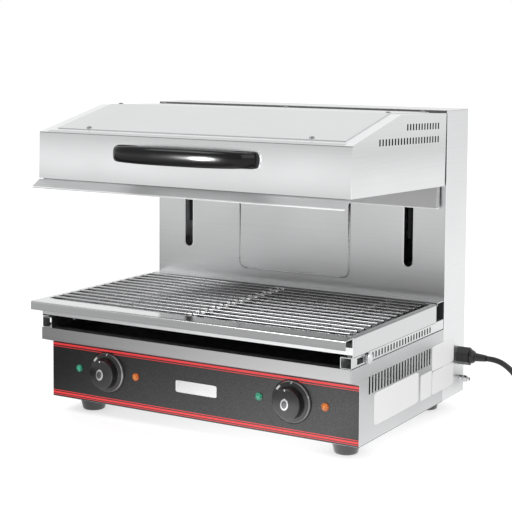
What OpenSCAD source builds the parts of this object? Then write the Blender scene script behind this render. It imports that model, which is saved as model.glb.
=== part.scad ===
// Cheese melter: an electric grill with a counterbalanced hood that rises and falls on a rear column.
// Millimetres, +Z up. The origin is on the floor under the middle of the whole part, with its cord
// left out.

/* [Base housing] */
// Width over the side panels
body_w = 600; // [520:5:800]
// Depth from the control panel's face to the back
body_d = 421; // [400:1:520]
// Height of the base housing without its feet
base_h = 127.3; // [120:0.1:160]
// Thickness of all sheet metal
sheet_t = 1.2; // [0.8:0.1:1.5]
// Height of the control panel
panel_h = 97; // [90:1:110]
// How far the sill stands in front of the control panel
sill_out = 30; // [20:1:40]
// Height of the sill's upright face
sill_face_h = 21; // [14:1:24]
// Depth of the sill's flat top
sill_top_d = 18; // [12:1:24]
// Height of the inner deck over the underside
deck_z = 112; // [105:1:118]
// Width of the folded edges of the panels
flange_w = 14; // [10:1:18]

/* [Feet] */
// Height of a foot
foot_h = 28; // [15:1:60]
// Diameter of a foot at its top
foot_top_d = 47; // [30:1:60]
// Diameter of a foot on the floor
foot_low_d = 36; // [26:1:48]
// Distance of a foot's centre from the side of the housing
foot_in_x = 49; // [40:1:70]
// Distance of a foot's centre from the front and from the back
foot_in_y = 53; // [40:1:70]
// Diameter of a foot's stud
foot_stud_d = 8; // [5:1:10]

/* [Ventilation slots] */
// Width of a slot
vent_w = 5; // [3:0.5:6]
// Number of slots in a side panel
vent_count = 22; // [4:1:22]
// Distance from one slot to the next
vent_pitch = 11.1; // [9:0.1:12]
// Distance of the first slot from the control panel's face
vent_start = 34.2; // [25:0.1:45]
// Height of a side panel's slots
vent_h = 28; // [10:1:30]
// Height of the middle of those slots over the underside
vent_z = 90.5; // [80:0.5:92]
// Height of a rail's slots
rail_vent_h = 10; // [6:0.5:11]

/* [Tray rails] */
// Width of a rail
rail_w = 20; // [16:1:24]
// Height of a rail
rail_h = 18; // [16:1:24]
// Bend radius of a rail's lower outer edge
rail_bend = 2.5; // [1.5:0.5:6]
// Diameter of a thumbscrew's head
thumb_d = 17; // [10:1:17]
// Thickness of a thumbscrew's head
thumb_t = 7; // [4:1:9]

/* [Column] */
// Height of the column over the underside
column_h = 508; // [500:1:560]
// Depth of the column
column_d = 94.4; // [92:0.1:110]
// Width of the two slots for the lift arms
slot_w = 17; // [12:1:24]
// Distance of a slot from the middle
slot_x = 230.5; // [226:0.5:236]
// Distance from the column's top down to the slots
slot_drop = 27; // [20:1:34]
// Length of the slots
slot_len = 250; // [248:1:262]
// Width of the pressed field
field_w = 226; // [120:1:300]
// Height of the pressed field's lower edge over the underside
field_low = 198; // [185:1:240]
// Height of the pressed field
field_h = 240; // [150:1:260]
// Corner radius of the pressed field
field_r = 14; // [6:1:30]
// How far the field is pressed out
field_out = 2; // [0.8:0.1:2.2]
// Depth of the ledge at the foot of the column's front
ledge_d = 26; // [15:1:28]

/* [Back] */
// Width of a slot in the back panel
back_slot_w = 90; // [40:5:120]
// Height of a slot in the back panel
back_slot_h = 5; // [3:0.5:7]
// Rows of slots in each group
back_rows = 8; // [3:1:9]
// Distance from one row to the next
back_pitch = 14; // [10:1:16]
// Diameter of a panel screw's head
screw_d = 8; // [6:0.5:10]
// Height of a panel screw's head
screw_h = 2.4; // [1.5:0.1:3]

/* [Hood] */
// Width of the hood
hood_w = 599; // [520:1:800]
// Depth of the hood
hood_d = 357.4; // [340:0.1:360]
// Height of the hood at the back
hood_h = 125.3; // [120:0.1:126]
// Height of the hood's front face
hood_front_h = 79.6; // [70:0.1:90]
// Depth of the sloping part of the top
slope_run = 174; // [120:1:200]
// Nose-up tilt of the hood, in degrees
hood_tilt = 1.6; // [0:0.1:2]
// Distance from the column's top down to the hood's top at the back, hood up
hood_drop = 4.6; // [1:0.1:6]
// Space between the hood's lower rear edge and the column
hood_gap = 5.6; // [5.4:0.1:8]
// Visible margin around the cover
cover_margin = 22; // [12:1:30]
// Width of the hidden lap under the cover
cover_lap = 12; // [8:1:14]
// How far the front lip stands out
lip_out = 20.6; // [10:0.1:30]
// How far the front lip drops
lip_drop = 14.7; // [8:0.1:20]
// How far the front lip's upright lap reaches up behind the hood's front
lip_lap = 18; // [10:1:30]
// How far the rear shield hangs below the hood
shield_drop = 40; // [20:1:44]

/* [Hood vents] */
// Slots in the lower row
low_vents = 21; // [4:1:21]
// Slots in the upper row
high_vents = 12; // [3:1:12]
// Distance from one slot of a row to the next
hood_vent_pitch = 11.4; // [9:0.1:11.6]
// Height of a slot
hood_vent_h = 10.6; // [6:0.1:12]
// Height of the lower row over the hood's lower edge
low_vent_z = 81.8; // [70:0.1:84]
// Height of the upper row over the hood's lower edge
high_vent_z = 104.2; // [98:0.1:108]

/* [Handle] */
// Length of the handle
handle_w = 280; // [200:1:400]
// How far the handle stands out
handle_out = 42.6; // [38:0.1:60]
// Height of the handle's bar
bar_h = 28; // [16:1:30]
// Thickness of the handle's bar
bar_t = 14; // [10:1:18]
// Height of the handle over the hood's lower edge
handle_z = 50.5; // [30:0.1:58]
// Length of a handle foot
lug_w = 50; // [40:1:60]

/* [Heating] */
// Diameter of a heating tube
tube_d = 8; // [6:0.5:9]
// Distance between neighbouring passes of a tube
pass_pitch = 44; // [30:1:46]
// Passes of each tube, an even number
passes = 6; // [2:2:6]
// Height of the tubes over the hood's lower edge
tube_z = 12; // [8:0.5:14]
// Height of the reflector over the hood's lower edge
reflector_z = 22; // [20:0.5:26]
// Thickness of the insulation
insulation_t = 26; // [10:1:28]

/* [Tray and racks] */
// Width of the tray
tray_w = 606; // [520:1:806]
// Depth of the tray without its grip
tray_d = 318; // [280:1:318]
// Height of the tray
tray_h = 31.3; // [26:0.1:33]
// Width of the tray's flat rim
rim_w = 9; // [6:0.5:12]
// Depth of the pan below the rim
pan_deep = 14.5; // [12:0.5:16]
// How far the grip stands in front of the tray
grip_out = 28; // [20:1:35]
// Height of the grip's face
grip_h = 15; // [10:0.5:18]
// Diameter of a rack's bar
bar_d = 4.5; // [3:0.1:5]
// Height of a rack's bars over the pan
rack_h = 15.4; // [13:0.1:20]
// Diameter of a rack's runner
runner_d = 6; // [5:0.1:7]
// Bars of each rack
bar_count = 13; // [5:1:13]
// Distance from one bar to the next
bar_pitch = 24; // [18:0.5:24]
// Distance of the outer runner from the middle of the tray
runner_x = 211; // [120:1:240]

/* [Controls] */
// Diameter of a knob's skirt
knob_d = 71; // [50:1:76]
// Diameter of a knob's cap
cap_d = 51; // [30:1:51]
// How far a knob stands out
knob_out = 20; // [16:0.5:30]
// Distance of a knob from the middle
knob_x = 181; // [150:1:190]
// Height of the knobs over the underside
knob_z = 56; // [48:0.5:57]
// Diameter of the regulator shafts
shaft_d = 6; // [4:0.5:7]
// Diameter of a regulator's threaded neck
neck_d = 10; // [9:0.5:12]
// Diameter of a pilot lamp
lamp_d = 13; // [9:0.5:14]
// Distance of a lamp from its knob
lamp_gap = 60; // [50:0.5:64]
// Thickness of the panel's film
film_t = 0.4; // [0.2:0.1:0.5]

/* [Lift] */
// Travel of the hood
travel = 145; // [60:1:147]
// Diameter of a guide rod
rod_d = 12; // [8:1:14]
// Distance of a guide rod from the middle
rod_x = 190; // [180:1:195]
// Distance of the guide rods behind the column's front
rod_in = 36; // [34:0.5:40]
// Outside diameter of a guide bush
bush_d = 20; // [18:0.5:22]
// Length of a guide bush
bush_h = 26; // [16:1:30]
// Radius at which a rope runs on its pulley
pulley_r = 20; // [16:0.5:21]
// Distance of a pulley from the middle
pulley_x = 130; // [60:1:140]
// Diameter of a rope
rope_d = 3; // [2:0.5:4]
// Diameter of a pulley's axle
axle_d = 8; // [5:0.5:10]
// Thickness of a lift arm
arm_t = 6; // [4:0.5:8]
// How far the arms' inner plates reach below the hood
arm_drop = 98; // [60:1:110]
// Height of the carriage plate
carriage_h = 138; // [100:1:150]
// How far the carriage plate reaches below the hood
carriage_drop = 48; // [30:1:60]
// Distance of the carriage plate behind the column's front
plate_in = 14; // [12:0.5:16]
// Thickness of the carriage plate
plate_t = 3; // [2:0.5:4]
// Distance from the column's top down to the pulleys' axles
pulley_drop = 40; // [36:1:60]
// Width of the counterweight
weight_w = 330; // [300:1:340]
// Thickness of the counterweight
weight_t = 24; // [16:1:26]
// Height of the counterweight
weight_h = 220; // [120:1:250]
// Height of the resting counterweight over the underside
weight_low = 36; // [20:1:40]

/* [Connections] */
// Width across the flats of the cable gland
gland_af = 28; // [24:1:30]
// Length of the gland's body
gland_len = 20; // [14:1:24]
// Diameter of the gland's thread
gland_thread_d = 20; // [16:1:22]
// Diameter of the gland's dome nut
dome_d = 24; // [20:1:26]
// Diameter of the mains cord
cord_d = 10; // [8:0.5:10.5]
// Height of the gland over the underside
gland_z = 67; // [60:1:80]
// Distance of the gland from the back
gland_in = 18; // [17:1:20]
// Diameter of the earthing stud
stud_d = 6; // [4:0.5:8]
// Height of the earthing stud over the underside
stud_z = 26; // [20:1:30]

/* [Clearances] */
// Gap where fixed pieces are seated on each other
seat = 0.2; // [0.1:0.05:0.4]
// Gap around sheet edges and between moving pieces
fit = 0.3; // [0.3:0.05:0.6]
// Radial play of a shaft in its bore
play = 0.05; // [0.02:0.01:0.1]

/* [Hidden] */

$fn = 48;
fine = 96;
cut = 1;
half_w = body_w / 2;
inner_w = body_w - 2 * (sheet_t + fit);
column_y = body_d - column_d;
hood_low = column_h - hood_h - hood_drop;
slot_low = column_h - slot_drop - slot_len;
dome_len = 9;
relief_len = 21.6;
gland_out = gland_len + 2 * seat + dome_len;
gland_y = body_d - gland_in;
mid_x = (gland_out - thumb_t) / 2;
hood_reach = handle_out + hood_d + hood_gap + column_d - body_d;
mid_y = (body_d - hood_reach) / 2;
hood_y = column_y - hood_gap;
rail_z = base_h + seat;
rail_top = rail_z + rail_h;
tray_z = rail_top + fit;
tray_top = tray_z + tray_h;
tray_front = -sill_out + 2;
pan_z = tray_top - pan_deep;
ledge_z = tray_top + fit;
ledge_y = column_y - ledge_d;
film_x = half_w - 0.8;
handle_foot_x = (handle_w - lug_w) / 2;

// Middle line of the mains cord from the strain relief to the coil: steps to the right and to the
// back, and the share of the height that is left.
cord_start = [half_w - mid_x + gland_out + relief_len, gland_y - mid_y, gland_z + foot_h];
cord_rest = cord_d / 2 + 0.4;
cord_route = [for (p = [
    [0, 0, 1], [15, 0, 0.989], [29, 0, 0.944], [42, 0, 0.855], [53, 1, 0.732], [62, 1, 0.598],
    [71, 2, 0.453], [80, 3, 0.319], [90, 4, 0.196], [101, 4, 0.096], [112, 5, 0.029], [124, 5, 0],
]) [cord_start[0] + p[0], cord_start[1] + p[1], cord_rest + p[2] * (cord_start[2] - cord_rest)]];
coil_centre = [474, 311];
coil_r_in = 39;
coil_r_out = 79;
coil_h = 20;
coil_lift = 0.2;
plug_start = [423, 373, 18.4];
plug_r = 18;

// ---------------------------------------------------------------- helpers

function unit(v) = v / norm(v);
function left_of(v) = [-v[1], v[0]];
function seg_dir(p, i) = unit(p[i + 1] - p[i]);
// Offset direction at corner i of an open path, long enough to keep the sheet's thickness.
function mitre(p, i) = let (
    a = left_of(seg_dir(p, max(i - 1, 0))),
    b = left_of(seg_dir(p, min(i, len(p) - 2)))
) (a + b) / (1 + a * b);
function moved(p, d) = [for (i = [0:len(p) - 1]) p[i] + d * mitre(p, i)];
function reversed(p) = [for (i = [len(p) - 1:-1:0]) p[i]];
// Outline of a sheet of thickness t that is folded along the path p, on its left side.
function folded(p, t) = concat(p, reversed(moved(p, t)));
// The path p with corner i rounded to the radius r by n steps.
function corner(p, i, r, n) = let (
    a = seg_dir(p, i - 1),
    b = seg_dir(p, i),
    turn = acos(a * b),
    side = sign(a[0] * b[1] - a[1] * b[0]),
    start = p[i] - a * r * tan(turn / 2),
    centre = start + side * r * left_of(a)
) [for (k = [0:n]) let (w = side * turn * k / n, q = start - centre)
    centre + [q[0] * cos(w) - q[1] * sin(w), q[0] * sin(w) + q[1] * cos(w)]];
function eased(p, r, n = 6) = concat(
    [p[0]], [for (i = [1:len(p) - 2]) each corner(p, i, r, n)], [p[len(p) - 1]]);

// From the housing's own coordinates (panel face at y 0, underside at z 0) to the part's frame.
module stand() {
    translate([-mid_x, -mid_y, foot_h]) children();
}

// From the untilted hood to its place, turned about its lower rear edge.
module hood_place() {
    stand() translate([0, hood_y, hood_low]) rotate([-hood_tilt, 0, 0]) children();
}

module both() {
    children();
    mirror([1, 0, 0]) children();
}

// Profiles drawn as (y, z), (x, z) and (x, y), carried along the third axis.
module span_x(x0, x1) {
    translate([x0, 0, 0]) rotate([90, 0, 90]) linear_extrude(x1 - x0) children();
}

module span_y(y0, y1) {
    translate([0, y1, 0]) rotate([90, 0, 0]) linear_extrude(y1 - y0) children();
}

module span_z(z0, z1) {
    translate([0, 0, z0]) linear_extrude(z1 - z0) children();
}

module rounded(w, h, r) {
    square([w - 2 * r, h], center = true);
    square([w, h - 2 * r], center = true);
    for (sx = [-1, 1], sy = [-1, 1])
        translate([sx * (w / 2 - r), sy * (h / 2 - r)]) circle(r);
}

// A row of upright slots starting at y 0.
module vent_row(count, pitch, w, h) {
    for (i = [0:count - 1])
        translate([i * pitch, 0]) square([w, h], center = true);
}

// A profile of (radius, distance to the front) turned about an axis that points forwards.
module turned_front(x, z, y = 0) {
    translate([x, y, z]) rotate([90, 0, 0]) rotate_extrude($fn = fine) children();
}

// A profile of (radius, distance to the right) turned about an axis that points to the right.
module turned_right(x, y, z) {
    translate([x, y, z]) rotate([0, 90, 0]) rotate_extrude($fn = fine) children();
}

// A domed screw that stands on z 0, with a shank below.
module dome_screw(d, h, shank_d, shank) {
    rotate_extrude() polygon(concat(
        [[0, -shank], [shank_d / 2, -shank], [shank_d / 2, 0], [d / 2, 0]],
        [for (a = [15:15:90]) [d / 2 * cos(a), h * sin(a)]]));
}

function tangent(p, i) = unit(p[min(i + 1, len(p) - 1)] - p[max(i - 1, 0)]);
function swept_ring(p, i, sec) = let (
    t = tangent(p, i),
    side = unit(cross(t, [0, 0, 1])),
    up = cross(side, t)
) [for (q = sec) p[i] + side * q[0] + up * q[1]];
function oval(w, h, n, power = 1) = [for (k = [0:n - 1]) let (a = 360 * k / n, c = cos(a), s = sin(a))
    [w / 2 * sign(c) * pow(abs(c), power), h / 2 * sign(s) * pow(abs(s), power)]];

// The section sec carried along the middle line p as one closed solid.
module swept(p, sec) {
    n = len(p);
    m = len(sec);
    points = [for (i = [0:n - 1]) each swept_ring(p, i, sec)];
    walls = [for (i = [0:n - 2], k = [0:m - 1]) let (a = i * m + k, b = i * m + (k + 1) % m)
        each [[a, b, b + m], [a, b + m, a + m]]];
    ends = [[for (k = [m - 1:-1:0]) k], [for (k = [0:m - 1]) (n - 1) * m + k]];
    polyhedron(points, concat(walls, ends));
}

// ---------------------------------------------------------------- base housing

side_outline = [
    [0, 0], [0, panel_h], [-sill_out, base_h - sill_face_h], [-sill_out, base_h],
    [column_y - fit, base_h], [column_y - fit, 0],
];
foot_places = [for (sx = [-1, 1], y = [foot_in_y, body_d - foot_in_y]) [sx * (half_w - foot_in_x), y]];

module body_side() {
    fold_start = sill_top_d - sill_out + fit;
    span_x(half_w - sheet_t, half_w) difference() {
        polygon(side_outline);
        translate([vent_start, vent_z]) vent_row(vent_count, vent_pitch, vent_w, vent_h);
    }
    // Top fold that carries the rail.
    translate([half_w - sheet_t - flange_w, fold_start, base_h - sheet_t])
        cube([flange_w + cut / 2, column_y - fit - fold_start, sheet_t]);
    // Front fold behind the control panel.
    translate([half_w - sheet_t - flange_w, sheet_t + seat, sheet_t + 2 * seat])
        cube([flange_w + cut / 2, sheet_t, panel_h - 4 * sheet_t]);
}

module body_side_right() {
    color("silver") stand() body_side();
}

module body_side_left() {
    color("silver") stand() mirror([1, 0, 0]) body_side();
}

module base_pan() {
    turn_up = 12;
    color("gainsboro") stand() {
        span_z(0, sheet_t) difference() {
            translate([-inner_w / 2, 0]) square([inner_w, body_d - sheet_t - seat]);
            for (p = foot_places) translate(p) circle(d = foot_stud_d + 2 * fit);
            // Air inlets under the regulators and along the middle.
            for (i = [-6:6]) translate([i * 3 * vent_pitch, body_d / 2])
                square([vent_w, 3 * vent_h], center = true);
        }
        // Upturned side edges.
        both() translate([inner_w / 2 - sheet_t, 2 * flange_w, sheet_t - cut / 2])
            cube([sheet_t, column_y - 4 * flange_w, turn_up]);
    }
}

module control_panel() {
    fold = 16;
    low = sheet_t + seat;
    color("dimgray") stand() difference() {
        span_x(-inner_w / 2, inner_w / 2)
            polygon(folded([[fold, panel_h - seat], [0, panel_h - seat], [0, low], [fold, low]], sheet_t));
        for (sx = [-1, 1]) {
            span_y(-cut, sheet_t + cut) {
                translate([sx * knob_x, knob_z]) circle(d = neck_d + 2 * seat);
                for (sl = [-1, 1]) translate([sx * knob_x + sl * lamp_gap, knob_z])
                    circle(d = lamp_body_d + 2 * seat);
            }
            // Clearance for the front folds of the side panels.
            translate([sx * (half_w - sheet_t - flange_w / 2), sheet_t + cut * 4, panel_h / 2])
                cube([flange_w + 4 * fit, 8 * cut, panel_h + cut], center = true);
        }
    }
}

lamp_body_d = lamp_d - 3;

module panel_film() {
    edge = 0.4;
    color("#2b2b2d") stand() span_y(-film_t, 0) difference() {
        translate([-film_x, edge]) square([2 * film_x, panel_h - seat - 2 * edge]);
        for (sx = [-1, 1]) {
            translate([sx * knob_x, knob_z]) circle(d = neck_d + 2 * seat);
            for (sl = [-1, 1]) translate([sx * knob_x + sl * lamp_gap, knob_z])
                circle(d = lamp_body_d + 2 * seat);
        }
    }
}

module sill() {
    color("silver") stand() span_x(-inner_w / 2, inner_w / 2)
        polygon(folded([
            [sill_top_d - sill_out, deck_z + seat], [sill_top_d - sill_out, base_h], [-sill_out, base_h],
            [-sill_out, base_h - sill_face_h], [0, panel_h], [flange_w, panel_h]], sheet_t));
}

module inner_deck() {
    front = sill_top_d - sill_out - sheet_t - flange_w;
    back = column_y - sheet_t - seat;
    channel = body_w - 2 * (rail_w + fit);
    color("#3a3a3c") stand() {
        span_z(deck_z - sheet_t, deck_z)
            translate([-inner_w / 2, front]) square([inner_w, back + sheet_t - front]);
        // Rear upturn that closes the column below the ledge.
        span_y(back, back + sheet_t) {
            translate([-channel / 2, deck_z - cut / 2]) square([channel, ledge_z - sheet_t - fit - deck_z]);
            translate([-inner_w / 2, rail_top + fit])
                square([inner_w, ledge_z - 2 * sheet_t - fit - rail_top]);
        }
    }
}

// Section of a rail, drawn smaller all round by the inset.
module rail_section(out, inn, inset) {
    r = rail_bend - inset;
    size = [out - inn - 2 * inset, rail_h - 2 * inset];
    translate([inn + inset, rail_z + inset]) {
        translate([0, r]) square([size[0], size[1] - r]);
        square([size[0] - r, size[1]]);
        translate([size[0] - r, r]) circle(r);
    }
}

module side_rail() {
    out = half_w - fit / 2;
    inn = half_w - rail_w;
    front = -sill_out + 2;
    back = column_y - fit - sheet_t - 2 * seat;
    thumb_y = vent_start - vent_pitch;
    difference() {
        span_y(front, back) difference() {
            rail_section(out, inn, 0);
            rail_section(out, inn, sheet_t);
        }
        span_x(inn - cut, half_w + cut)
            translate([vent_start, rail_z + rail_h / 2])
                vent_row(vent_count, vent_pitch, vent_w, rail_vent_h);
        // Window near the front of the outer web.
        span_x(out - sheet_t - cut, half_w + cut)
            translate([front + rail_h, rail_z + rail_h / 2 - rail_vent_h / 2])
                square([thumb_y - thumb_d / 2 - 2 - front - rail_h, rail_vent_h]);
        translate([half_w, thumb_y, rail_z + rail_h / 2]) rotate([0, 90, 0])
            cylinder(d = thumb_shank_d + 2 * seat, h = 3 * rail_w / 2, center = true);
    }
}

thumb_shank_d = 5;

module side_rail_right() {
    color("silver") stand() side_rail();
}

module side_rail_left() {
    color("silver") stand() mirror([1, 0, 0]) side_rail();
}

module rail_thumbscrews() {
    chamfer = 1;
    color("whitesmoke") stand() both()
        turned_right(half_w, vent_start - vent_pitch, rail_z + rail_h / 2)
            polygon([[0, -rail_w / 2], [thumb_shank_d / 2, -rail_w / 2], [thumb_shank_d / 2, seat],
                [thumb_d / 2 - chamfer, seat], [thumb_d / 2, seat + chamfer],
                [thumb_d / 2, thumb_t - chamfer],
                [thumb_d / 2 - chamfer, thumb_t], [0, thumb_t]]);
}

module rubber_feet() {
    dish = 5;
    edge = 1.5;
    color("#1c1c1c") stand() for (p = foot_places) translate(p) rotate_extrude($fn = fine) polygon([
        [foot_stud_d / 2 + seat, -foot_h + dish], [foot_stud_d, -foot_h + dish], [foot_stud_d + 1, -foot_h],
        [foot_low_d / 2 - edge, -foot_h], [foot_low_d / 2, -foot_h + edge], [foot_top_d / 2, -2 * edge],
        [foot_top_d / 2 - edge, 0], [foot_stud_d / 2 + seat, 0]]);
}

module foot_studs() {
    head = 4;
    color("silver") stand() for (p = foot_places) translate([p[0], p[1], -foot_h + 5 - seat]) {
        translate([0, 0, -head]) cylinder(d = 1.7 * foot_stud_d, h = head);
        cylinder(d = foot_stud_d, h = foot_h + foot_stud_d);
        // Nut inside the base.
        translate([0, 0, foot_h - 5 + 2 * seat + sheet_t])
            cylinder(d = 1.8 * foot_stud_d, h = foot_stud_d / 2, $fn = 6);
    }
}

// ---------------------------------------------------------------- column

module column_side() {
    top = column_h - sheet_t - seat;
    fold_low = base_h;
    difference() {
        union() {
            translate([half_w - sheet_t, column_y, 0]) cube([sheet_t, column_d, top]);
            // Folds behind the front panel and inside the back panel.
            for (y = [column_y + sheet_t + seat, body_d - 2 * sheet_t - seat])
                translate([half_w - sheet_t - flange_w, y, fold_low])
                    cube([flange_w + cut / 2, sheet_t, top - fold_low - 2 * sheet_t - 5]);
        }
        children();
    }
}

module column_side_right() {
    color("silver") stand() column_side() {
        translate([half_w, body_d - gland_in, gland_z]) rotate([0, 90, 0])
            cylinder(d = gland_thread_d + 2 * seat, h = 4 * sheet_t, center = true);
        translate([half_w, body_d - gland_in, stud_z]) rotate([0, 90, 0])
            cylinder(d = stud_d + 2 * seat, h = 4 * sheet_t, center = true);
    }
}

module column_side_left() {
    color("silver") stand() mirror([1, 0, 0]) column_side();
}

module column_top() {
    lap = 5;
    color("lightgray") stand() {
        translate([-half_w, column_y, column_h - sheet_t]) cube([body_w, column_d, sheet_t]);
        for (y = [column_y, body_d - sheet_t])
            translate([-inner_w / 2, y, column_h - lap]) cube([inner_w, sheet_t, lap - sheet_t / 2]);
    }
}

front_top = column_h - 5 - fit;

module column_front_panel() {
    lip = 6;
    color("silver") stand() difference() {
        union() {
            span_x(-inner_w / 2, inner_w / 2) polygon(folded([
                [column_y, front_top], [column_y, ledge_z], [ledge_y, ledge_z],
                [ledge_y, ledge_z - lip]], sheet_t));
            field(0, 0);
        }
        field(sheet_t, cut);
        span_y(column_y - cut, column_y + 2 * sheet_t)
            both() translate([slot_x, slot_low + slot_len / 2])
                rounded(slot_w, slot_len, slot_w / 2 - 0.01);
    }
}

// The pressed field, drawn smaller by the sheet and longer to the back when it is the hollow.
module field(inset, back) {
    r = field_r - inset / 2;
    span_y(column_y - field_out + inset, column_y + sheet_t / 2 + inset * 2 + back)
        translate([0, field_low + field_h / 2]) rounded(field_w - 2 * inset, field_h - 2 * inset, r);
}

back_screw_places = [for (sx = [-1, 1], z = [flange_w, column_h / 2, column_h - 2 * flange_w])
    [sx * (inner_w / 2 - flange_w / 2), z]];

module column_back_panel() {
    color("silver") stand() span_y(body_d - sheet_t, body_d) difference() {
        translate([-inner_w / 2, sheet_t + seat]) square([inner_w, front_top - sheet_t - seat]);
        for (sx = [-1, 1], z = [column_h * 0.2, column_h * 0.7], i = [0:back_rows - 1])
            translate([sx * inner_w / 5, z + i * back_pitch])
                rounded(back_slot_w, back_slot_h, back_slot_h / 2 - 0.01);
        for (p = back_screw_places) translate(p) circle(d = screw_d / 2 + 2 * seat);
    }
}

module back_panel_screws() {
    color("gainsboro") stand() for (p = back_screw_places)
        translate([p[0], body_d + seat / 2, p[1]]) rotate([-90, 0, 0])
            dome_screw(screw_d, screw_h, screw_d / 2, sheet_t + seat);
}

// ---------------------------------------------------------------- controls

module knob() {
    skirt_t = 3.5;
    bevel = 3;
    round_r = 2;
    gap = film_t + fit;
    color("#202021") turned_front(0, 0) difference() {
        polygon(concat(
            [[0, gap], [knob_d / 2, gap], [knob_d / 2, gap + 1], [knob_d / 2 - bevel, gap + skirt_t],
                [cap_d / 2 + 1, gap + skirt_t], [cap_d / 2, gap + skirt_t + 1]],
            [for (a = [0:30:90]) [cap_d / 2 - 1 - round_r + round_r * cos(a),
            knob_out - round_r + round_r * sin(a)]],
            [[0, knob_out]]));
        // Hollow around the regulator's nut, and the bore for the shaft.
        translate([0, gap - cut]) square([neck_d, 6 + cut]);
        square([shaft_d / 2 + play, knob_out - 5]);
    }
}

module knob_right() {
    stand() translate([knob_x, 0, knob_z]) knob();
}

module knob_left() {
    stand() translate([-knob_x, 0, knob_z]) knob();
}

shaft_in = 30;

module knob_shaft() {
    color("silver") rotate([90, 0, 0]) translate([0, 0, -shaft_in])
        cylinder(d = shaft_d, h = shaft_in + knob_out - 5 - fit, $fn = fine);
}

module shaft_right() {
    stand() translate([knob_x, 0, knob_z]) knob_shaft();
}

module shaft_left() {
    stand() translate([-knob_x, 0, knob_z]) knob_shaft();
}

module power_regulators() {
    size = [36, 30, 44];
    nut_t = 3;
    neck_out = film_t + nut_t + 1;
    color("#d8d4c8") stand() for (sx = [-1, 1]) translate([sx * knob_x, 0, knob_z]) difference() {
        union() {
            translate([-size[0] / 2, sheet_t + seat, -size[2] / 2]) cube(size);
            rotate([90, 0, 0]) translate([0, 0, -2 * sheet_t])
                cylinder(d = neck_d, h = 2 * sheet_t + neck_out, $fn = fine);
            // Fixing nut.
            rotate([90, 0, 0]) translate([0, 0, film_t + seat / 2])
                cylinder(d = 1.6 * neck_d, h = nut_t, $fn = 6);
        }
        rotate([90, 0, 0]) translate([0, 0, -shaft_in - fit])
            cylinder(d = shaft_d + 2 * play, h = shaft_in + 2 * neck_out, $fn = fine);
    }
}

module pilot_lamp() {
    collar = 1.5;
    lens = 3;
    body = 24;
    turned_front(0, 0) polygon(concat(
        [[0, -body], [lamp_body_d / 2, -body], [lamp_body_d / 2, film_t + seat / 2],
        [lamp_d / 2, film_t + seat / 2],
            [lamp_d / 2, film_t + collar]],
        [for (a = [0:15:90]) [(lamp_d / 2 - 1) * cos(a), film_t + collar + lens * sin(a)]]));
}

module pilot_lamps_green() {
    color("green") stand() for (x = [-knob_x - lamp_gap, knob_x - lamp_gap]) translate([x, 0, knob_z])
        pilot_lamp();
}

module pilot_lamps_amber() {
    color("orange") stand() for (x = [-knob_x + lamp_gap, knob_x + lamp_gap]) translate([x, 0, knob_z])
        pilot_lamp();
}

module terminal_row(n, pitch, h) {
    for (i = [0:n - 1]) translate([i * pitch, 0, 0]) cube([pitch - 1, 2 * pitch, h]);
    cube([n * pitch - 1, 2 * pitch, h / 2]);
}

module mains_terminals() {
    ways = 5;
    pitch = 12;
    place = [half_w - 3 * flange_w - ways * pitch, body_d - 9 * flange_w, sheet_t + seat];
    color("ivory") stand() translate(place)
        terminal_row(ways, pitch, 18);
}

// ---------------------------------------------------------------- connections on the right side

module cord_gland() {
    thread_len = 12;
    nut = 5;
    color("gray") stand() translate([half_w, gland_y, gland_z]) rotate([0, 90, 0]) {
        translate([0, 0, seat]) cylinder(d = gland_af / cos(30), h = gland_len, $fn = 6);
        translate([0, 0, -thread_len]) cylinder(d = gland_thread_d, h = thread_len + cut);
        // Locknut inside the column.
        translate([0, 0, -sheet_t - seat - nut]) cylinder(d = gland_thread_d + 8, h = nut, $fn = 6);
    }
}

module gland_dome_nut() {
    x0 = gland_len + 2 * seat;
    lip = 6;
    color("dimgray") stand() turned_right(half_w, gland_y, gland_z) polygon(concat(
        [[0, x0]], [[dome_d / 2, x0], [dome_d / 2, x0 + 2]],
        [for (a = [20:20:80]) [lip + (dome_d / 2 - lip) * cos(a), x0 + 2 + (dome_len - 2) * sin(a)]],
        [[lip, x0 + dome_len], [0, x0 + dome_len]]));
}

module strain_relief() {
    end = relief_len - 3 * fit;
    color("#1c1c1c") stand() turned_right(half_w + gland_out, gland_y, gland_z)
        polygon([[0, 0], [cord_d / 2 + 2.5, 0], [cord_d / 2 + 0.8, end - 1], [cord_d / 2 + 0.4, end],
            [0, end]]);
}

module power_cord() {
    color("#1c1c1c") swept(cord_route, oval(cord_d, cord_d, 12));
}

module cord_coil() {
    color("#1c1c1c") translate([coil_centre[0], coil_centre[1], coil_lift]) rotate_extrude($fn = fine)
        translate([(coil_r_in + coil_r_out) / 2, coil_h / 2])
            rounded(coil_r_out - coil_r_in, coil_h, cord_d / 2);
}

module plug_body() {
    sleeve = 26;
    body = 38;
    color("#1c1c1c") translate(plug_start) rotate([0, -90, 0]) rotate_extrude($fn = fine) polygon([
        [0, 0], [cord_d / 2 + 1, 0], [cord_d / 2 + 3, sleeve], [plug_r - 5, sleeve + 6],
        [plug_r, sleeve + 14],
        [plug_r, sleeve + body - 1], [plug_r - 1, sleeve + body], [0, sleeve + body]]);
}

module plug_pins() {
    pin_d = 4.8;
    pin_len = 19;
    spacing = 19;
    body_end = 64;
    color("silver") translate(plug_start) rotate([0, -90, 0]) for (sx = [-1, 1])
        translate([0, sx * spacing / 2, body_end + 0.05]) {
            cylinder(d = pin_d, h = pin_len - 2);
            translate([0, 0, pin_len - 2]) cylinder(d1 = pin_d, d2 = pin_d - 2, h = 2);
        }
}

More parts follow.
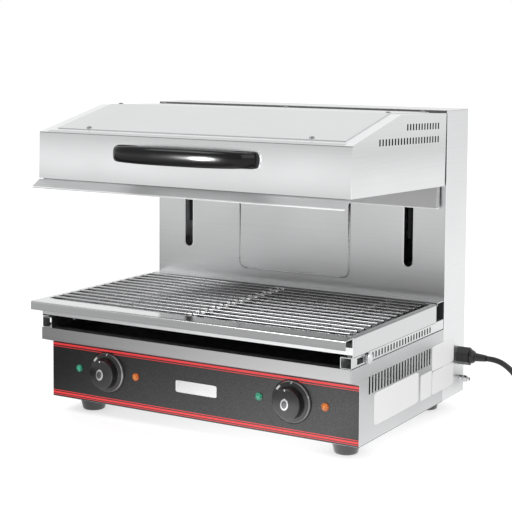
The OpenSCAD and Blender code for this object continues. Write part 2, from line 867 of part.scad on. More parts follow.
module earthing_stud() {
    color("silver") stand() translate([half_w, gland_y, stud_z]) rotate([0, 90, 0]) {
        translate([0, 0, -10]) cylinder(d = stud_d, h = 29);
        // Washer and nuts outside, locknut inside.
        translate([0, 0, seat]) cylinder(d = 2.1 * stud_d, h = 1.6);
        translate([0, 0, seat + 1]) cylinder(d = 1.85 * stud_d, h = 5, $fn = 6);
        translate([0, 0, 8]) cylinder(d = 2.1 * stud_d, h = 1.6);
        translate([0, 0, 9]) cylinder(d = 1.85 * stud_d, h = 5, $fn = 6);
        translate([0, 0, -sheet_t - seat - 5]) cylinder(d = 1.85 * stud_d, h = 5, $fn = 6);
    }
}

// ---------------------------------------------------------------- tray and racks

tray_mid = tray_front + tray_d / 2;
rim_front = rim_w - 1;
rim_back = rim_w - 5;
pan_w = tray_w - 2 * (rim_w + sheet_t);
pan_d = tray_d - rim_front - rim_back;
pan_mid = tray_mid + (rim_front - rim_back) / 2;

module pan_frame(w, d, r) {
    translate([0, pan_mid]) rounded(w, d, r);
}

module tray_frame(w, d, r) {
    translate([0, tray_mid]) rounded(w, d, r);
}

module rack_tray() {
    r = 5;
    color("silver") stand() difference() {
        union() {
            span_z(tray_z, tray_top) tray_frame(tray_w, tray_d, r);
            // Grip: rim carried forward and folded down.
            span_x(-tray_w / 2, tray_w / 2) polygon(folded(eased([
                [tray_front + sheet_t / 2, tray_top], [tray_front - grip_out, tray_top],
                [tray_front - grip_out, tray_top - grip_h]], 2 * sheet_t, 5), sheet_t));
        }
        // Pan, seen from above.
        span_z(pan_z, tray_top + cut) pan_frame(pan_w, pan_d, r - sheet_t);
        // Space between pan and skirt, seen from below.
        span_z(tray_z - cut, tray_top - sheet_t) difference() {
            tray_frame(tray_w - 2 * sheet_t, tray_d - 2 * sheet_t, r - sheet_t);
            pan_frame(pan_w + 2 * sheet_t, pan_d + 2 * sheet_t, r);
        }
        span_z(tray_z - cut, pan_z - sheet_t) pan_frame(pan_w + 3 * sheet_t, pan_d + 3 * sheet_t, r);
        // Front skirt, cut shorter than the sides.
        translate([-tray_w / 2 + 2 * sheet_t, tray_front - cut, tray_z - cut])
            cube([tray_w - 4 * sheet_t, 4 * cut, 4 + cut]);
    }
    // Slides folded in under the side skirts, which lie on the rails.
    color("silver") stand() both() translate([tray_w / 2 - rim_w - 3 * sheet_t, tray_front + r, tray_z])
        cube([rim_w + 2.5 * sheet_t, tray_d - 2 * r, sheet_t]);
}

rack_in = 5;
rack_gap = 1.5;
bar_z = pan_z + rack_h;

// One rack with bars across and two runners that stand on bent feet.
module wire_rack() {
    bend = 4.5;
    lap = 0.3;
    x_out = pan_w / 2 - rack_in;
    span = bar_pitch * (bar_count - 1);
    y_mid = pan_mid + 1;
    run_z = bar_z - bar_d / 2 - runner_d / 2 + lap;
    drop = run_z - pan_z - fit;
    color("gainsboro") {
        for (i = [0:bar_count - 1]) translate([rack_gap, y_mid - span / 2 + i * bar_pitch, bar_z])
            rotate([0, 90, 0])
            cylinder(d = bar_d, h = x_out - rack_gap, $fn = 24);
        for (x = [rack_gap + runner_d / 2, runner_x]) {
            translate([x, y_mid - span / 2, run_z]) rotate([-90, 0, 0])
                cylinder(d = runner_d, h = span, $fn = 24);
            for (e = [0, 180]) translate([x, y_mid, run_z]) rotate([0, 0, e]) {
                translate([0, -span / 2, -bend]) rotate([90, 0, -90]) rotate_extrude(angle = 90, $fn = 32)
                    translate([bend, 0]) circle(d = runner_d, $fn = 24);
                translate([0, -span / 2 - bend, -drop])
                    cylinder(d = runner_d, h = drop - bend + 0.01, $fn = 24);
            }
        }
    }
}

module wire_rack_right() {
    stand() wire_rack();
}

module wire_rack_left() {
    stand() mirror([1, 0, 0]) wire_rack();
}

// ---------------------------------------------------------------- hood
// Drawn untilted, with its lower rear edge at the origin.

rear_in = 0.6;
hood_top = [
    [-rear_in, 0], [-rear_in, hood_h], [slope_run - hood_d, hood_h],
    [-hood_d, hood_front_h], [-hood_d, 0],
];
slope_dir = unit(hood_top[2] - hood_top[3]);
slope_angle = atan2(slope_dir[1], slope_dir[0]);
cover_front = hood_top[3] + slope_dir * cover_margin;
cover_back = [-rear_in - cover_margin, hood_h];
cover_w = hood_w - 2 * cover_margin;

module hood_shell() {
    inner = moved(hood_top, sheet_t);
    open_front = hood_top[3] + slope_dir * (cover_margin + cover_lap);
    open_back = [cover_back[0] - cover_lap, hood_h];
    rim = 8;
    color("silver") hood_place() difference() {
        span_x(-hood_w / 2, hood_w / 2) polygon(hood_top);
        span_x(-hood_w / 2 + sheet_t, hood_w / 2 - sheet_t)
            polygon(concat([[inner[0][0], sheet_t]], [for (i = [1:3]) inner[i]], [[inner[4][0], sheet_t]]));
        // Mouth, inside the narrow rim at the sides.
        span_x(-hood_w / 2 + rim, hood_w / 2 - rim)
            polygon([[inner[0][0], -cut], [inner[0][0], 2 * sheet_t], [inner[4][0], 2 * sheet_t],
                [inner[4][0], -cut]]);
        // Opening under the cover.
        span_x(-cover_w / 2 + cover_lap, cover_w / 2 - cover_lap)
            polygon(folded([moved_by(open_front, -3), moved_by(hood_top[2], -3),
                moved_by(open_back, -3)], 6));
        span_x(-hood_w, hood_w) {
            translate([-34.5 - (low_vents - 1) * hood_vent_pitch, low_vent_z])
                vent_row(low_vents, hood_vent_pitch, vent_w, hood_vent_h);
            translate([-34.5 - (high_vents - 1) * hood_vent_pitch, high_vent_z])
                vent_row(high_vents, hood_vent_pitch, vent_w, hood_vent_h);
        }
        for (s = cover_screws) cover_screw_hole(s);
        for (sx = [-1, 1]) translate([sx * handle_foot_x, -hood_d, handle_z]) rotate([90, 0, 0])
            cylinder(d = 5 + 2 * seat, h = 4 * sheet_t, center = true);
    }
}

function moved_by(p, d) = [p[0], p[1] + d];

// Screws of the cover: share of its half width, row.
cover_screws = [
    [-0.775, "slope"], [0.775, "slope"], [-0.965, "top"], [0.965, "top"],
    [-0.965, "back"], [0, "back"], [0.965, "back"],
];

module at_cover_screw(s) {
    edge = 8;
    p = s[1] == "slope" ? cover_front + slope_dir * edge
        : s[1] == "top" ? hood_top[2] + [2 * edge, 0] : cover_back - [edge, 0];
    translate([s[0] * cover_w / 2, p[0], p[1]]) rotate([s[1] == "slope" ? slope_angle : 0, 0, 0])
        children();
}

module cover_screw_hole(s) {
    at_cover_screw(s) cylinder(d = screw_d / 2 + 2 * seat, h = 6 * sheet_t, center = true);
}

module hood_cover() {
    path = moved([cover_front, hood_top[2], cover_back], seat / 2);
    color("gainsboro") hood_place() difference() {
        span_x(-cover_w / 2, cover_w / 2) polygon(folded(path, sheet_t));
        for (s = cover_screws) cover_screw_hole(s);
    }
}

// Screws of the cover from above, screws of the handle from inside.
module hood_screws() {
    color("gainsboro") hood_place() {
        for (s = cover_screws)
            at_cover_screw(s) translate([0, 0, sheet_t + seat])
                dome_screw(screw_d + 1, screw_h, screw_d / 2, 3 * sheet_t);
        for (sx = [-1, 1]) translate([sx * handle_foot_x, -hood_d + sheet_t + seat, handle_z])
            rotate([-90, 0, 0]) dome_screw(screw_d, screw_h, screw_d / 2, sheet_t + seat);
    }
}

module hood_lip() {
    back = -hood_d + sheet_t + seat;
    mitre_cut = 1;
    color("gainsboro") hood_place() difference() {
        span_x(-hood_w / 2 + 9, hood_w / 2 - 9) polygon(reversed(folded([
            [-hood_d - lip_out, -lip_drop], [back, -0.6], [back, lip_lap]], -sheet_t)));
        for (sx = [-1, 1]) translate([sx * hood_w / 2, -hood_d - lip_out, -lip_drop]) rotate([0, 0, 45])
            cube([4 * mitre_cut, 4 * mitre_cut, 6 * mitre_cut], center = true);
    }
    color("gainsboro") hood_place() both() difference() {
        span_x(hood_w / 2 - 9 - 0.01, hood_w / 2 - 1) polygon(reversed(folded([
            [-hood_d - lip_out, -lip_drop], [-hood_d - seat, -0.6 - 1]], -sheet_t)));
        translate([hood_w / 2, -hood_d - lip_out, -lip_drop]) rotate([0, 0, 45])
            cube([4 * mitre_cut, 4 * mitre_cut, 6 * mitre_cut], center = true);
    }
}

module hood_rear_shield() {
    w = hood_w - 2 * 9.5;
    face = -12;
    wing = 1.4;
    top = 18;
    color("silver") hood_place() {
        span_z(-shield_drop, -fit) polygon(folded([
            [w / 2, wing], [w / 2, face], [-w / 2, face], [-w / 2, wing]], -sheet_t));
        span_x(-w / 2, w / 2) polygon(folded([
            [face, -shield_drop], [face, top], [-rear_in - sheet_t - seat, top]], -sheet_t));
    }
}

lug_t = 5;
// Middle line of the bow, steep at its ends and flat over its middle third.
handle_reach = handle_out - bar_t / 2;
handle_path = eased([
    [handle_w / 2 - bar_t / 2, -seat - 0.7 * lug_t], [handle_w / 2 - 1.6 * bar_t, -0.74 * handle_reach],
    [handle_w / 6, -handle_reach], [-handle_w / 6, -handle_reach],
    [-handle_w / 2 + 1.6 * bar_t, -0.74 * handle_reach], [-handle_w / 2 + bar_t / 2, -seat - 0.7 * lug_t]],
    48, 8);

module hood_handle() {
    color("#151515") hood_place() translate([0, -hood_d, handle_z]) {
        // Bow.
        swept([for (p = handle_path) [p[0], p[1], 0]], oval(bar_t, bar_h, 16, 0.6));
        // Feet on the hood's face.
        for (sx = [-1, 1]) translate([sx * handle_foot_x, -seat, 0]) rotate([90, 0, 0])
            linear_extrude(lug_t) rounded(lug_w, bar_h, bar_h / 2 - 0.01);
    }
}

// One heating tube: passes from front to back, joined by half-circle bends, ends turned up.
heater_x = 28;
heater_front = -hood_d + 40;
heater_back = -60;

leg_bend = reflector_z - tube_z;
leg_top = reflector_z + sheet_t + insulation_t + 6;

module heater() {
    r = pass_pitch / 2;
    color("#3c3a38") translate([0, 0, tube_z]) {
        for (i = [0:passes - 1]) translate([heater_x + i * pass_pitch, heater_front, 0]) rotate([-90, 0, 0])
            cylinder(d = tube_d, h = heater_back - heater_front, $fn = 32);
        for (i = [0:passes - 2])
            translate([heater_x + (i + 0.5) * pass_pitch, i % 2 == 0 ? heater_front : heater_back, 0])
            rotate([0, 0, i % 2 == 0 ? 180 : 0]) rotate_extrude(angle = 180, $fn = 48) translate([r, 0])
                circle(d = tube_d, $fn = 32);
        for (i = [0, passes - 1]) translate([heater_x + i * pass_pitch, heater_back, 0]) {
            translate([0, 0, leg_bend]) rotate([0, 90, 0]) rotate_extrude(angle = 90, $fn = 48)
                translate([leg_bend, 0]) circle(d = tube_d, $fn = 32);
            translate([0, leg_bend, leg_bend - 0.01])
                cylinder(d = tube_d, h = leg_top - reflector_z, $fn = 32);
        }
    }
}

module heater_right() {
    hood_place() heater();
}

module heater_left() {
    hood_place() mirror([1, 0, 0]) heater();
}

leg_places = [for (sx = [-1, 1], i = [0, passes - 1])
    [sx * (heater_x + i * pass_pitch), heater_back + leg_bend]];

module heat_reflector() {
    w = hood_w - 2 * sheet_t - 2 * fit;
    front = -hood_d + 2 * sheet_t + 3 * fit;
    back = -14;
    color("lightgray") hood_place() difference() {
        union() {
            span_z(reflector_z, reflector_z + sheet_t) translate([-w / 2, front]) square([w, back - front]);
            both() span_x(w / 2 - sheet_t, w / 2) translate([front, reflector_z])
                square([back - front, flange_w]);
        }
        for (p = leg_places) translate([p[0], p[1], reflector_z])
            cylinder(d = tube_d + 1, h = 6 * sheet_t, center = true);
    }
}

module element_brackets() {
    t = 4;
    low = 3;
    inset = 40;
    span = (passes - 1) * pass_pitch;
    bottom = tube_z - tube_d / 2 - low;
    rows = [heater_front + inset, heater_back - inset];
    color("silver") hood_place() for (sx = [-1, 1], y = rows) difference() {
        translate([sx * (heater_x + span / 2) - span / 2 - tube_d, y, bottom])
            cube([span + 2 * tube_d, t, reflector_z - seat - bottom]);
        for (i = [0:passes - 1]) translate([sx * (heater_x + i * pass_pitch), y - cut, tube_z])
            rotate([-90, 0, 0])
            cylinder(d = tube_d + 2 * seat, h = t + 2 * cut, $fn = 32);
    }
}

module hood_insulation() {
    edge = 6;
    w = hood_w - 2 * (sheet_t + flange_w);
    z0 = reflector_z + sheet_t + seat;
    color("khaki") hood_place() difference() {
        span_z(z0, z0 + insulation_t) translate([-w / 2, -hood_d + 2 * edge])
            square([w, hood_d - 5 * edge]);
        for (p = leg_places) translate([p[0], p[1], z0])
            cylinder(d = tube_d + 4, h = 4 * insulation_t, center = true);
    }
}

module hood_terminals() {
    ways = 4;
    pitch = 12;
    z0 = reflector_z + sheet_t + insulation_t + 2 * seat;
    color("ivory") hood_place() translate([-ways * pitch / 2, -3 * flange_w, z0])
        terminal_row(ways, pitch, 16);
}

// ---------------------------------------------------------------- lift

rod_y = column_y + rod_in;
plate_y = column_y + plate_in;
carriage_low = hood_low - carriage_drop;
carriage_top = carriage_low + carriage_h;
rod_low = carriage_low - travel - 32;
rod_top = column_h - 16;
bush_z = [carriage_low + 5, carriage_top - bush_h - 5];
pulley_y = rod_y + 13;
pulley_z = column_h - pulley_drop;
rope_front_y = pulley_y - pulley_r;
rope_back_y = pulley_y + pulley_r;
rope_end = pulley_z - pulley_r;
weight_top = weight_low + weight_h;

// The hood's carriage: plate, bush housings, rope lugs, two arms through the slots.
module lift_carriage() {
    housing = bush_d + 10;
    flange = 30;
    foot_low = hood_low - arm_drop;
    lug = [12, rope_front_y + 3 - plate_y, 8];
    reach = [hood_y + seat + 1.6, hood_y + seat + 2.6];
    color("gray") {
        stand() difference() {
            union() {
                translate([-slot_x - arm_t / 2, plate_y, carriage_low])
                    cube([2 * slot_x + arm_t, plate_t, carriage_top - carriage_low]);
                both() {
                    span_x(slot_x - arm_t / 2, slot_x + arm_t / 2) polygon([
                        [reach[0], hood_low + 4], [reach[1] + 1, carriage_top - 2],
                        [plate_y + plate_t, carriage_top - 2],
                        [plate_y + plate_t, foot_low], [column_y + 5, foot_low],
                        [column_y + 5, hood_low - 8], [column_y - 1, hood_low + 4]]);
                    for (z = bush_z) translate([rod_x - housing / 2, plate_y + plate_t / 2, z])
                        cube([housing, rod_y + housing / 2 - 3 - plate_y - plate_t / 2, bush_h]);
                    translate([pulley_x - lug[0] / 2, plate_y + plate_t / 2, rope_end - lug[2]])
                        cube([lug[0], lug[1], lug[2]]);
                }
            }
            // Lightening window, and the bores of the bush housings.
            span_y(plate_y - cut, plate_y + plate_t + cut)
                translate([0, (carriage_low + carriage_top) / 2]) rounded(200, 80, 10);
            both() for (z = bush_z) translate([rod_x, rod_y, z - cut])
                cylinder(d = bush_d + 2 * play, h = bush_h + 2 * cut, $fn = fine);
        }
        // Flanges on the hood's back.
        hood_place() both() translate([slot_x - flange / 2, -rear_in + seat, 6])
            cube([flange, 2.4, carriage_top - hood_low - 12]);
    }
}

module guide_bushes() {
    color("goldenrod") stand() both() for (z = bush_z) translate([rod_x, rod_y, z]) difference() {
        cylinder(d = bush_d, h = bush_h, $fn = fine);
        translate([0, 0, -cut]) cylinder(d = rod_d + 2 * play, h = bush_h + 2 * cut, $fn = fine);
    }
}

module guide_rods() {
    color("silver") stand() both() translate([rod_x, rod_y, rod_low])
        cylinder(d = rod_d, h = rod_top - rod_low, $fn = fine);
}

module rod_brackets() {
    w = 34;
    t = 5;
    leg = 30;
    y0 = column_y + sheet_t + 2 * seat;
    color("gray") stand() both() for (top = [false, true]) {
        z = top ? rod_top - t : rod_low;
        difference() {
            union() {
                translate([rod_x - w / 2, y0, z]) cube([w, rod_y + w / 2 - y0, t]);
                translate([rod_x - w / 2, y0, top ? z - leg : z]) cube([w, 3, leg + t]);
            }
            translate([rod_x, rod_y, z - cut]) cylinder(d = rod_d + 2 * play, h = t + 2 * cut, $fn = fine);
        }
    }
}

module pulley() {
    w = 10;
    rim = pulley_r + 3.5;
    groove = pulley_r - rope_d / 2 - fit;
    hub = axle_d / 2 + 4;
    color("#4a4a4a") rotate([0, 90, 0]) rotate_extrude($fn = fine) polygon([
        [axle_d / 2 + play, -w / 2], [hub, -w / 2], [hub, -w / 2 + 1.5], [groove - 3, -w / 2 + 1.5],
        [groove - 2, -w / 2],
        [rim, -w / 2], [rim, -w / 2 + 1], [groove, -rope_d / 2 - fit], [groove, rope_d / 2 + fit],
        [rim, w / 2 - 1],
        [rim, w / 2], [groove - 2, w / 2], [groove - 3, w / 2 - 1.5], [hub, w / 2 - 1.5], [hub, w / 2],
        [axle_d / 2 + play, w / 2]]);
}

module pulley_right() {
    stand() translate([pulley_x, pulley_y, pulley_z]) pulley();
}

module pulley_left() {
    stand() translate([-pulley_x, pulley_y, pulley_z]) pulley();
}

module pulley_brackets() {
    gap = 10 + 4 * fit;
    t = 3;
    d = 30;
    top = column_h - sheet_t - seat;
    color("gray") stand() both() translate([pulley_x, pulley_y, 0]) {
        for (sx = [-1, 1]) difference() {
            translate([sx * (gap + t) / 2 - t / 2, -d / 2, pulley_z - d / 3])
                cube([t, d, top - pulley_z + d / 3]);
        }
        translate([-gap / 2 - t, -d / 2, top - t]) cube([gap + 2 * t, d, t]);
        translate([-gap / 2 - t - 2, 0, pulley_z]) rotate([0, 90, 0])
            cylinder(d = axle_d, h = gap + 2 * t + 4, $fn = fine);
    }
}

module rope_wraps() {
    color("dimgray") stand() both() translate([pulley_x, pulley_y, pulley_z]) rotate([90, 0, 90])
        rotate_extrude(angle = 180, $fn = fine) translate([pulley_r, 0]) circle(d = rope_d, $fn = 24);
}

module rope_run(y, low) {
    color("dimgray") stand() both()
        translate([pulley_x, y, low + seat]) cylinder(d = rope_d, h = pulley_z - low - 2 * seat, $fn = 24);
}

module rope_front_runs() {
    rope_run(rope_front_y, rope_end);
}

module rope_back_runs() {
    rope_run(rope_back_y, weight_top + eye_h);
}

eye_h = 10;

module counterweight() {
    eye = [14, 8, eye_h];
    color("#2f2f31") stand() {
        translate([-weight_w / 2, rope_back_y - weight_t / 2, weight_low])
            cube([weight_w, weight_t, weight_h]);
        both() translate([pulley_x - eye[0] / 2, rope_back_y - eye[1] / 2, weight_top - cut])
            cube([eye[0], eye[1], eye[2] + cut]);
    }
}

// ---------------------------------------------------------------- nodes

base_pan();
body_side_left();
body_side_right();
control_panel();
panel_film();
sill();
inner_deck();
side_rail_left();
side_rail_right();
rail_thumbscrews();
column_side_left();
column_side_right();
column_top();
column_front_panel();
column_back_panel();
back_panel_screws();
rubber_feet();
foot_studs();
knob_left();
knob_right();
shaft_left();
shaft_right();
power_regulators();
pilot_lamps_green();
pilot_lamps_amber();
mains_terminals();
cord_gland();
gland_dome_nut();
strain_relief();
power_cord();
cord_coil();
plug_body();
plug_pins();
earthing_stud();
rack_tray();
wire_rack_left();
wire_rack_right();
hood_shell();
hood_cover();
hood_screws();
hood_lip();
hood_rear_shield();
hood_handle();
heater_left();
heater_right();
heat_reflector();
element_brackets();
hood_insulation();
hood_terminals();
lift_carriage();
guide_bushes();
guide_rods();
rod_brackets();
pulley_left();
pulley_right();
pulley_brackets();
rope_wraps();
rope_front_runs();
rope_back_runs();
counterweight();
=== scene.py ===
"""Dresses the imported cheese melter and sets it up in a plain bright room.

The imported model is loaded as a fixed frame, and each of its nodes gets a finish. The cord, the handle
and the feet stand in for the model's plain ones. The field's crease, the printed marks and the bare
plates are added. All lengths are in metres, except where a name ends in _mm or a docstring says
millimetres.
"""

import logging
import math
from dataclasses import dataclass
from enum import Enum
from typing import Sequence

import bpy
import numpy as np
from mathutils import Matrix, Vector


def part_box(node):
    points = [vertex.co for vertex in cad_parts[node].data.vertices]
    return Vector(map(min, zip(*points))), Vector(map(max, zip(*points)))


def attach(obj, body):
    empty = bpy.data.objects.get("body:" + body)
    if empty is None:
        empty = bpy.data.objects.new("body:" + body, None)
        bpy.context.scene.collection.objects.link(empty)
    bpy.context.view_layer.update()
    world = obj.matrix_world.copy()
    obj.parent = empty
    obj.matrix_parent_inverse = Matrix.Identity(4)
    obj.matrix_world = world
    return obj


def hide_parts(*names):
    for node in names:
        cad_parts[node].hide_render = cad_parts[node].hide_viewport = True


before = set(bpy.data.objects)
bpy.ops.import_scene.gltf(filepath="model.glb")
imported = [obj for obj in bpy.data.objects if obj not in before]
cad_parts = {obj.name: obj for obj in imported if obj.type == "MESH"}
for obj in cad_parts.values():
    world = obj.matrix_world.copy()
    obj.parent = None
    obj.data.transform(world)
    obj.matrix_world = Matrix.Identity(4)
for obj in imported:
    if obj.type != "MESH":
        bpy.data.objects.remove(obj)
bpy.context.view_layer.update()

Colour = tuple[float, float, float]
MM_PER_M = 1000.0
SOFT_EDGE = 0.0002
SENSOR_MM = 36.0
WHITE: Colour = (1.0, 1.0, 1.0)
log = logging.getLogger("cheese_melter")


# ------------------------------------------------------------------------------------------------
# The housing's own coordinates


def housing_origin() -> np.ndarray:
    """Point of the housing's own coordinates: middle of the sides, panel face, underside.

    Returns:
        The point in the part's frame.
    """
    top_low, top_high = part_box("column_top")
    panel_low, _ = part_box("control_panel")
    pan_low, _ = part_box("base_pan")
    return np.array([(top_low.x + top_high.x) / 2, panel_low.y, pan_low.z])


ORIGIN = housing_origin()


def placed(points_mm: np.ndarray) -> np.ndarray:
    """Brings points from the housing's own coordinates to the part's frame.

    Args:
        points_mm: Points, one to a row, in millimetres.

    Returns:
        The same points in metres.
    """
    return ORIGIN + np.asarray(points_mm, dtype=float) / MM_PER_M


# ------------------------------------------------------------------------------------------------
# Surfaces worked out on grids


def grid_faces(rows: int, columns: int, wrap: bool) -> np.ndarray:
    """Lists the four corners of each cell of a grid of points.

    Args:
        rows: Number of points along the first parameter.
        columns: Number of points along the second parameter.
        wrap: Whether the second parameter runs round and closes.

    Returns:
        An array with four point numbers to a row.
    """
    first = np.arange(rows - 1)[:, None]
    second = np.arange(columns if wrap else columns - 1)[None, :]
    after = (second + 1) % columns
    corners = [first * columns + second, first * columns + after, (first + 1) * columns + after]
    corners.append((first + 1) * columns + second)
    return np.stack([c.ravel() for c in np.broadcast_arrays(*corners)], axis=1)


def new_object(name: str, data: bpy.types.ID) -> bpy.types.Object:
    """Makes an object of a mesh, a lamp or a camera, and links it to the scene."""
    thing = bpy.data.objects.new(name, data)
    bpy.context.scene.collection.objects.link(thing)
    return thing


def closed_form(name: str, points: np.ndarray, smooth: bool = True) -> bpy.types.Object:
    """Makes a closed solid from rings of points, with a flat lid on the first and the last ring.

    Point (i, j) lies at row i of the way along and column j of the way round.

    Args:
        name: Name of the new object.
        points: Array of rows, columns and three coordinates.
        smooth: Whether the faces are shaded as one smooth surface.

    Returns:
        The new object, linked to the scene.
    """
    rows, columns, _ = points.shape
    flat = points.reshape(-1, 3)
    faces = grid_faces(rows, columns, wrap=True).tolist()
    faces.append(list(range(columns - 1, -1, -1)))
    faces.append(list(range((rows - 1) * columns, rows * columns)))
    mesh = bpy.data.meshes.new(name)
    mesh.from_pydata(flat.tolist(), [], faces)
    corners = flat[np.array(faces[: rows * columns - columns])]
    normal = np.cross(corners[:, 2] - corners[:, 0], corners[:, 3] - corners[:, 1])
    outward = (corners.mean(axis=1) * normal).sum() - flat.mean(axis=0) @ normal.sum(axis=0)
    if outward < 0:
        mesh.flip_normals()
    mesh.polygons.foreach_set("use_smooth", [smooth] * (len(faces) - 2) + [False, False])
    mesh.update()
    return new_object(name, mesh)


def superellipse(count: int, half_width: float, half_height: float, power: float) -> np.ndarray:
    """Points of a rounded outline: |x / a|^n + |y / b|^n = 1.

    Args:
        count: Number of points.
        half_width: Half of the outline's width, a.
        half_height: Half of the outline's height, b.
        power: Exponent n, 2 for an ellipse and more for squarer corners.

    Returns:
        An array with two coordinates to a row.
    """
    turn = np.linspace(0.0, 2.0 * np.pi, count, endpoint=False)
    cosine, sine = np.cos(turn), np.sin(turn)
    x = half_width * np.sign(cosine) * np.abs(cosine) ** (2.0 / power)
    y = half_height * np.sign(sine) * np.abs(sine) ** (2.0 / power)
    return np.stack([x, y], axis=1)


def along_path(path: np.ndarray, sections: np.ndarray, up: Sequence[float]) -> np.ndarray:
    """Carries a flat section along a path: point = path + sideways * x + upwards * y.

    Sideways is square to the path and to the given up direction, upwards is square to both.

    Args:
        path: Middle line, one point to a row.
        sections: Array of path points, section points and two coordinates.
        up: Direction that the section's y follows.

    Returns:
        The grid of points.
    """
    tangent = np.gradient(path, axis=0)
    tangent /= np.linalg.norm(tangent, axis=1, keepdims=True)
    side = np.cross(tangent, np.asarray(up, dtype=float))
    side /= np.linalg.norm(side, axis=1, keepdims=True)
    lift = np.cross(side, tangent)
    return path[:, None, :] + side[:, None, :] * sections[..., :1] + lift[:, None, :] * sections[..., 1:]


def flowing(points: np.ndarray, steps: int) -> np.ndarray:
    """Draws a smooth curve through points: cubic pieces whose slopes are half the neighbours' distance.

    Args:
        points: Points that the curve passes, one to a row.
        steps: Number of curve points for each stretch.

    Returns:
        The curve's points, the last one included.
    """
    ends = np.vstack([2 * points[0] - points[1], points, 2 * points[-1] - points[-2]])
    share = np.linspace(0.0, 1.0, steps, endpoint=False)[None, :, None]
    p0, p1, p2, p3 = (ends[i : len(ends) - 3 + i][:, None, :] for i in range(4))
    bend = 2 * p0 - 5 * p1 + 4 * p2 - p3
    twist = 3 * (p1 - p2) + p3 - p0
    curve = p1 + 0.5 * share * (p2 - p0 + share * (bend + share * twist))
    return np.vstack([curve.reshape(-1, 3), points[-1:]])


# ------------------------------------------------------------------------------------------------
# Node trees


class Run(Enum):
    """Direction of a sheet's rolling grain: how fast the pattern changes along X, Y and Z, per metre."""

    ACROSS = (4.0, 420.0, 420.0)
    DEEP = (420.0, 4.0, 420.0)
    LEVEL = (4.0, 4.0, 420.0)
    PLAIN = (180.0, 180.0, 180.0)


class Bench:
    """A node tree with short calls for the nodes that the finishes use."""

    def __init__(self, tree: bpy.types.NodeTree) -> None:
        """Keeps the tree that nodes are added to."""
        self.tree = tree

    def add(self, kind: str, **settings: object) -> bpy.types.Node:
        """Adds a node.

        Args:
            kind: Blender's name of the node type.
            **settings: Properties to set on it.

        Returns:
            The new node.
        """
        node = self.tree.nodes.new(kind)
        for key, value in settings.items():
            setattr(node, key, value)
        return node

    def feed(self, socket: bpy.types.NodeSocket, source: object) -> None:
        """Links a socket to another node's output, or sets its plain value."""
        if isinstance(source, bpy.types.NodeSocket):
            self.tree.links.new(source, socket)
        else:
            socket.default_value = source

    def sum(
        self, kind: str, first: object, second: object, third: object = 0.0, clamp: bool = False
    ) -> bpy.types.NodeSocket:
        """Adds a Math node and returns its output."""
        node = self.add("ShaderNodeMath", operation=kind, use_clamp=clamp)
        for socket, source in zip(node.inputs, (first, second, third)):
            self.feed(socket, source)
        return node.outputs[0]

    def spread(
        self, value: object, low: float, high: float, start: float = 0.0, end: float = 1.0
    ) -> bpy.types.NodeSocket:
        """Maps a value that runs from start to end onto low to high, and holds it there."""
        node = self.add("ShaderNodeMapRange", clamp=True)
        for socket, source in zip(node.inputs, (value, start, end, low, high)):
            self.feed(socket, source)
        return node.outputs[0]

    def blend(self, share: object, first: object, second: object) -> bpy.types.NodeSocket:
        """Mixes two colours by a share and returns the colour."""
        node = self.add("ShaderNodeMix", data_type="RGBA")
        self.feed(node.inputs[0], share)
        self.feed(node.inputs[6], first)
        self.feed(node.inputs[7], second)
        return node.outputs[2]

    def noise(
        self, vector: object, scale: object, detail: float = 2.0, roughness: float = 0.5
    ) -> bpy.types.NodeSocket:
        """Adds a noise texture and returns its grey value."""
        node = self.add("ShaderNodeTexNoise")
        sources = {"Vector": vector, "Scale": scale, "Detail": detail, "Roughness": roughness}
        for label, source in sources.items():
            self.feed(node.inputs[label], source)
        return node.outputs[0]

    def vector_sum(self, kind: str, first: object, second: object) -> bpy.types.NodeSocket:
        """Adds a Vector Math node and returns its vector."""
        node = self.add("ShaderNodeVectorMath", operation=kind)
        self.feed(node.inputs[0], first)
        self.feed(node.inputs[1], second)
        return node.outputs[0]

    def axes(self, vector: object) -> tuple[bpy.types.NodeSocket, ...]:
        """Splits a vector into its three coordinates."""
        node = self.add("ShaderNodeSeparateXYZ")
        self.feed(node.inputs[0], vector)
        return tuple(node.outputs[:3])


class EffectGroup(Bench):
    """A shader node group that is built once and placed in many materials."""

    def __init__(
        self, name: str, inputs: Sequence[tuple[str, str, object]], outputs: Sequence[str]
    ) -> None:
        """Makes the empty group.

        Args:
            name: Name of the group.
            inputs: Name, socket type and plain value of each input.
            outputs: Names of the grey outputs.
        """
        super().__init__(bpy.data.node_groups.new(name, "ShaderNodeTree"))
        for label, kind, value in inputs:
            socket = self.tree.interface.new_socket(label, in_out="INPUT", socket_type=kind)
            socket.default_value = value
        for label in outputs:
            self.tree.interface.new_socket(label, in_out="OUTPUT", socket_type="NodeSocketFloat")
        self.entry = self.add("NodeGroupInput")
        self.leave = self.add("NodeGroupOutput")

    def give(self, label: str, source: bpy.types.NodeSocket) -> None:
        """Sends a value out of the group."""
        self.feed(self.leave.inputs[label], source)

    def take(self, label: str) -> bpy.types.NodeSocket:
        """Gives the group's input of that name."""
        return self.entry.outputs[label]


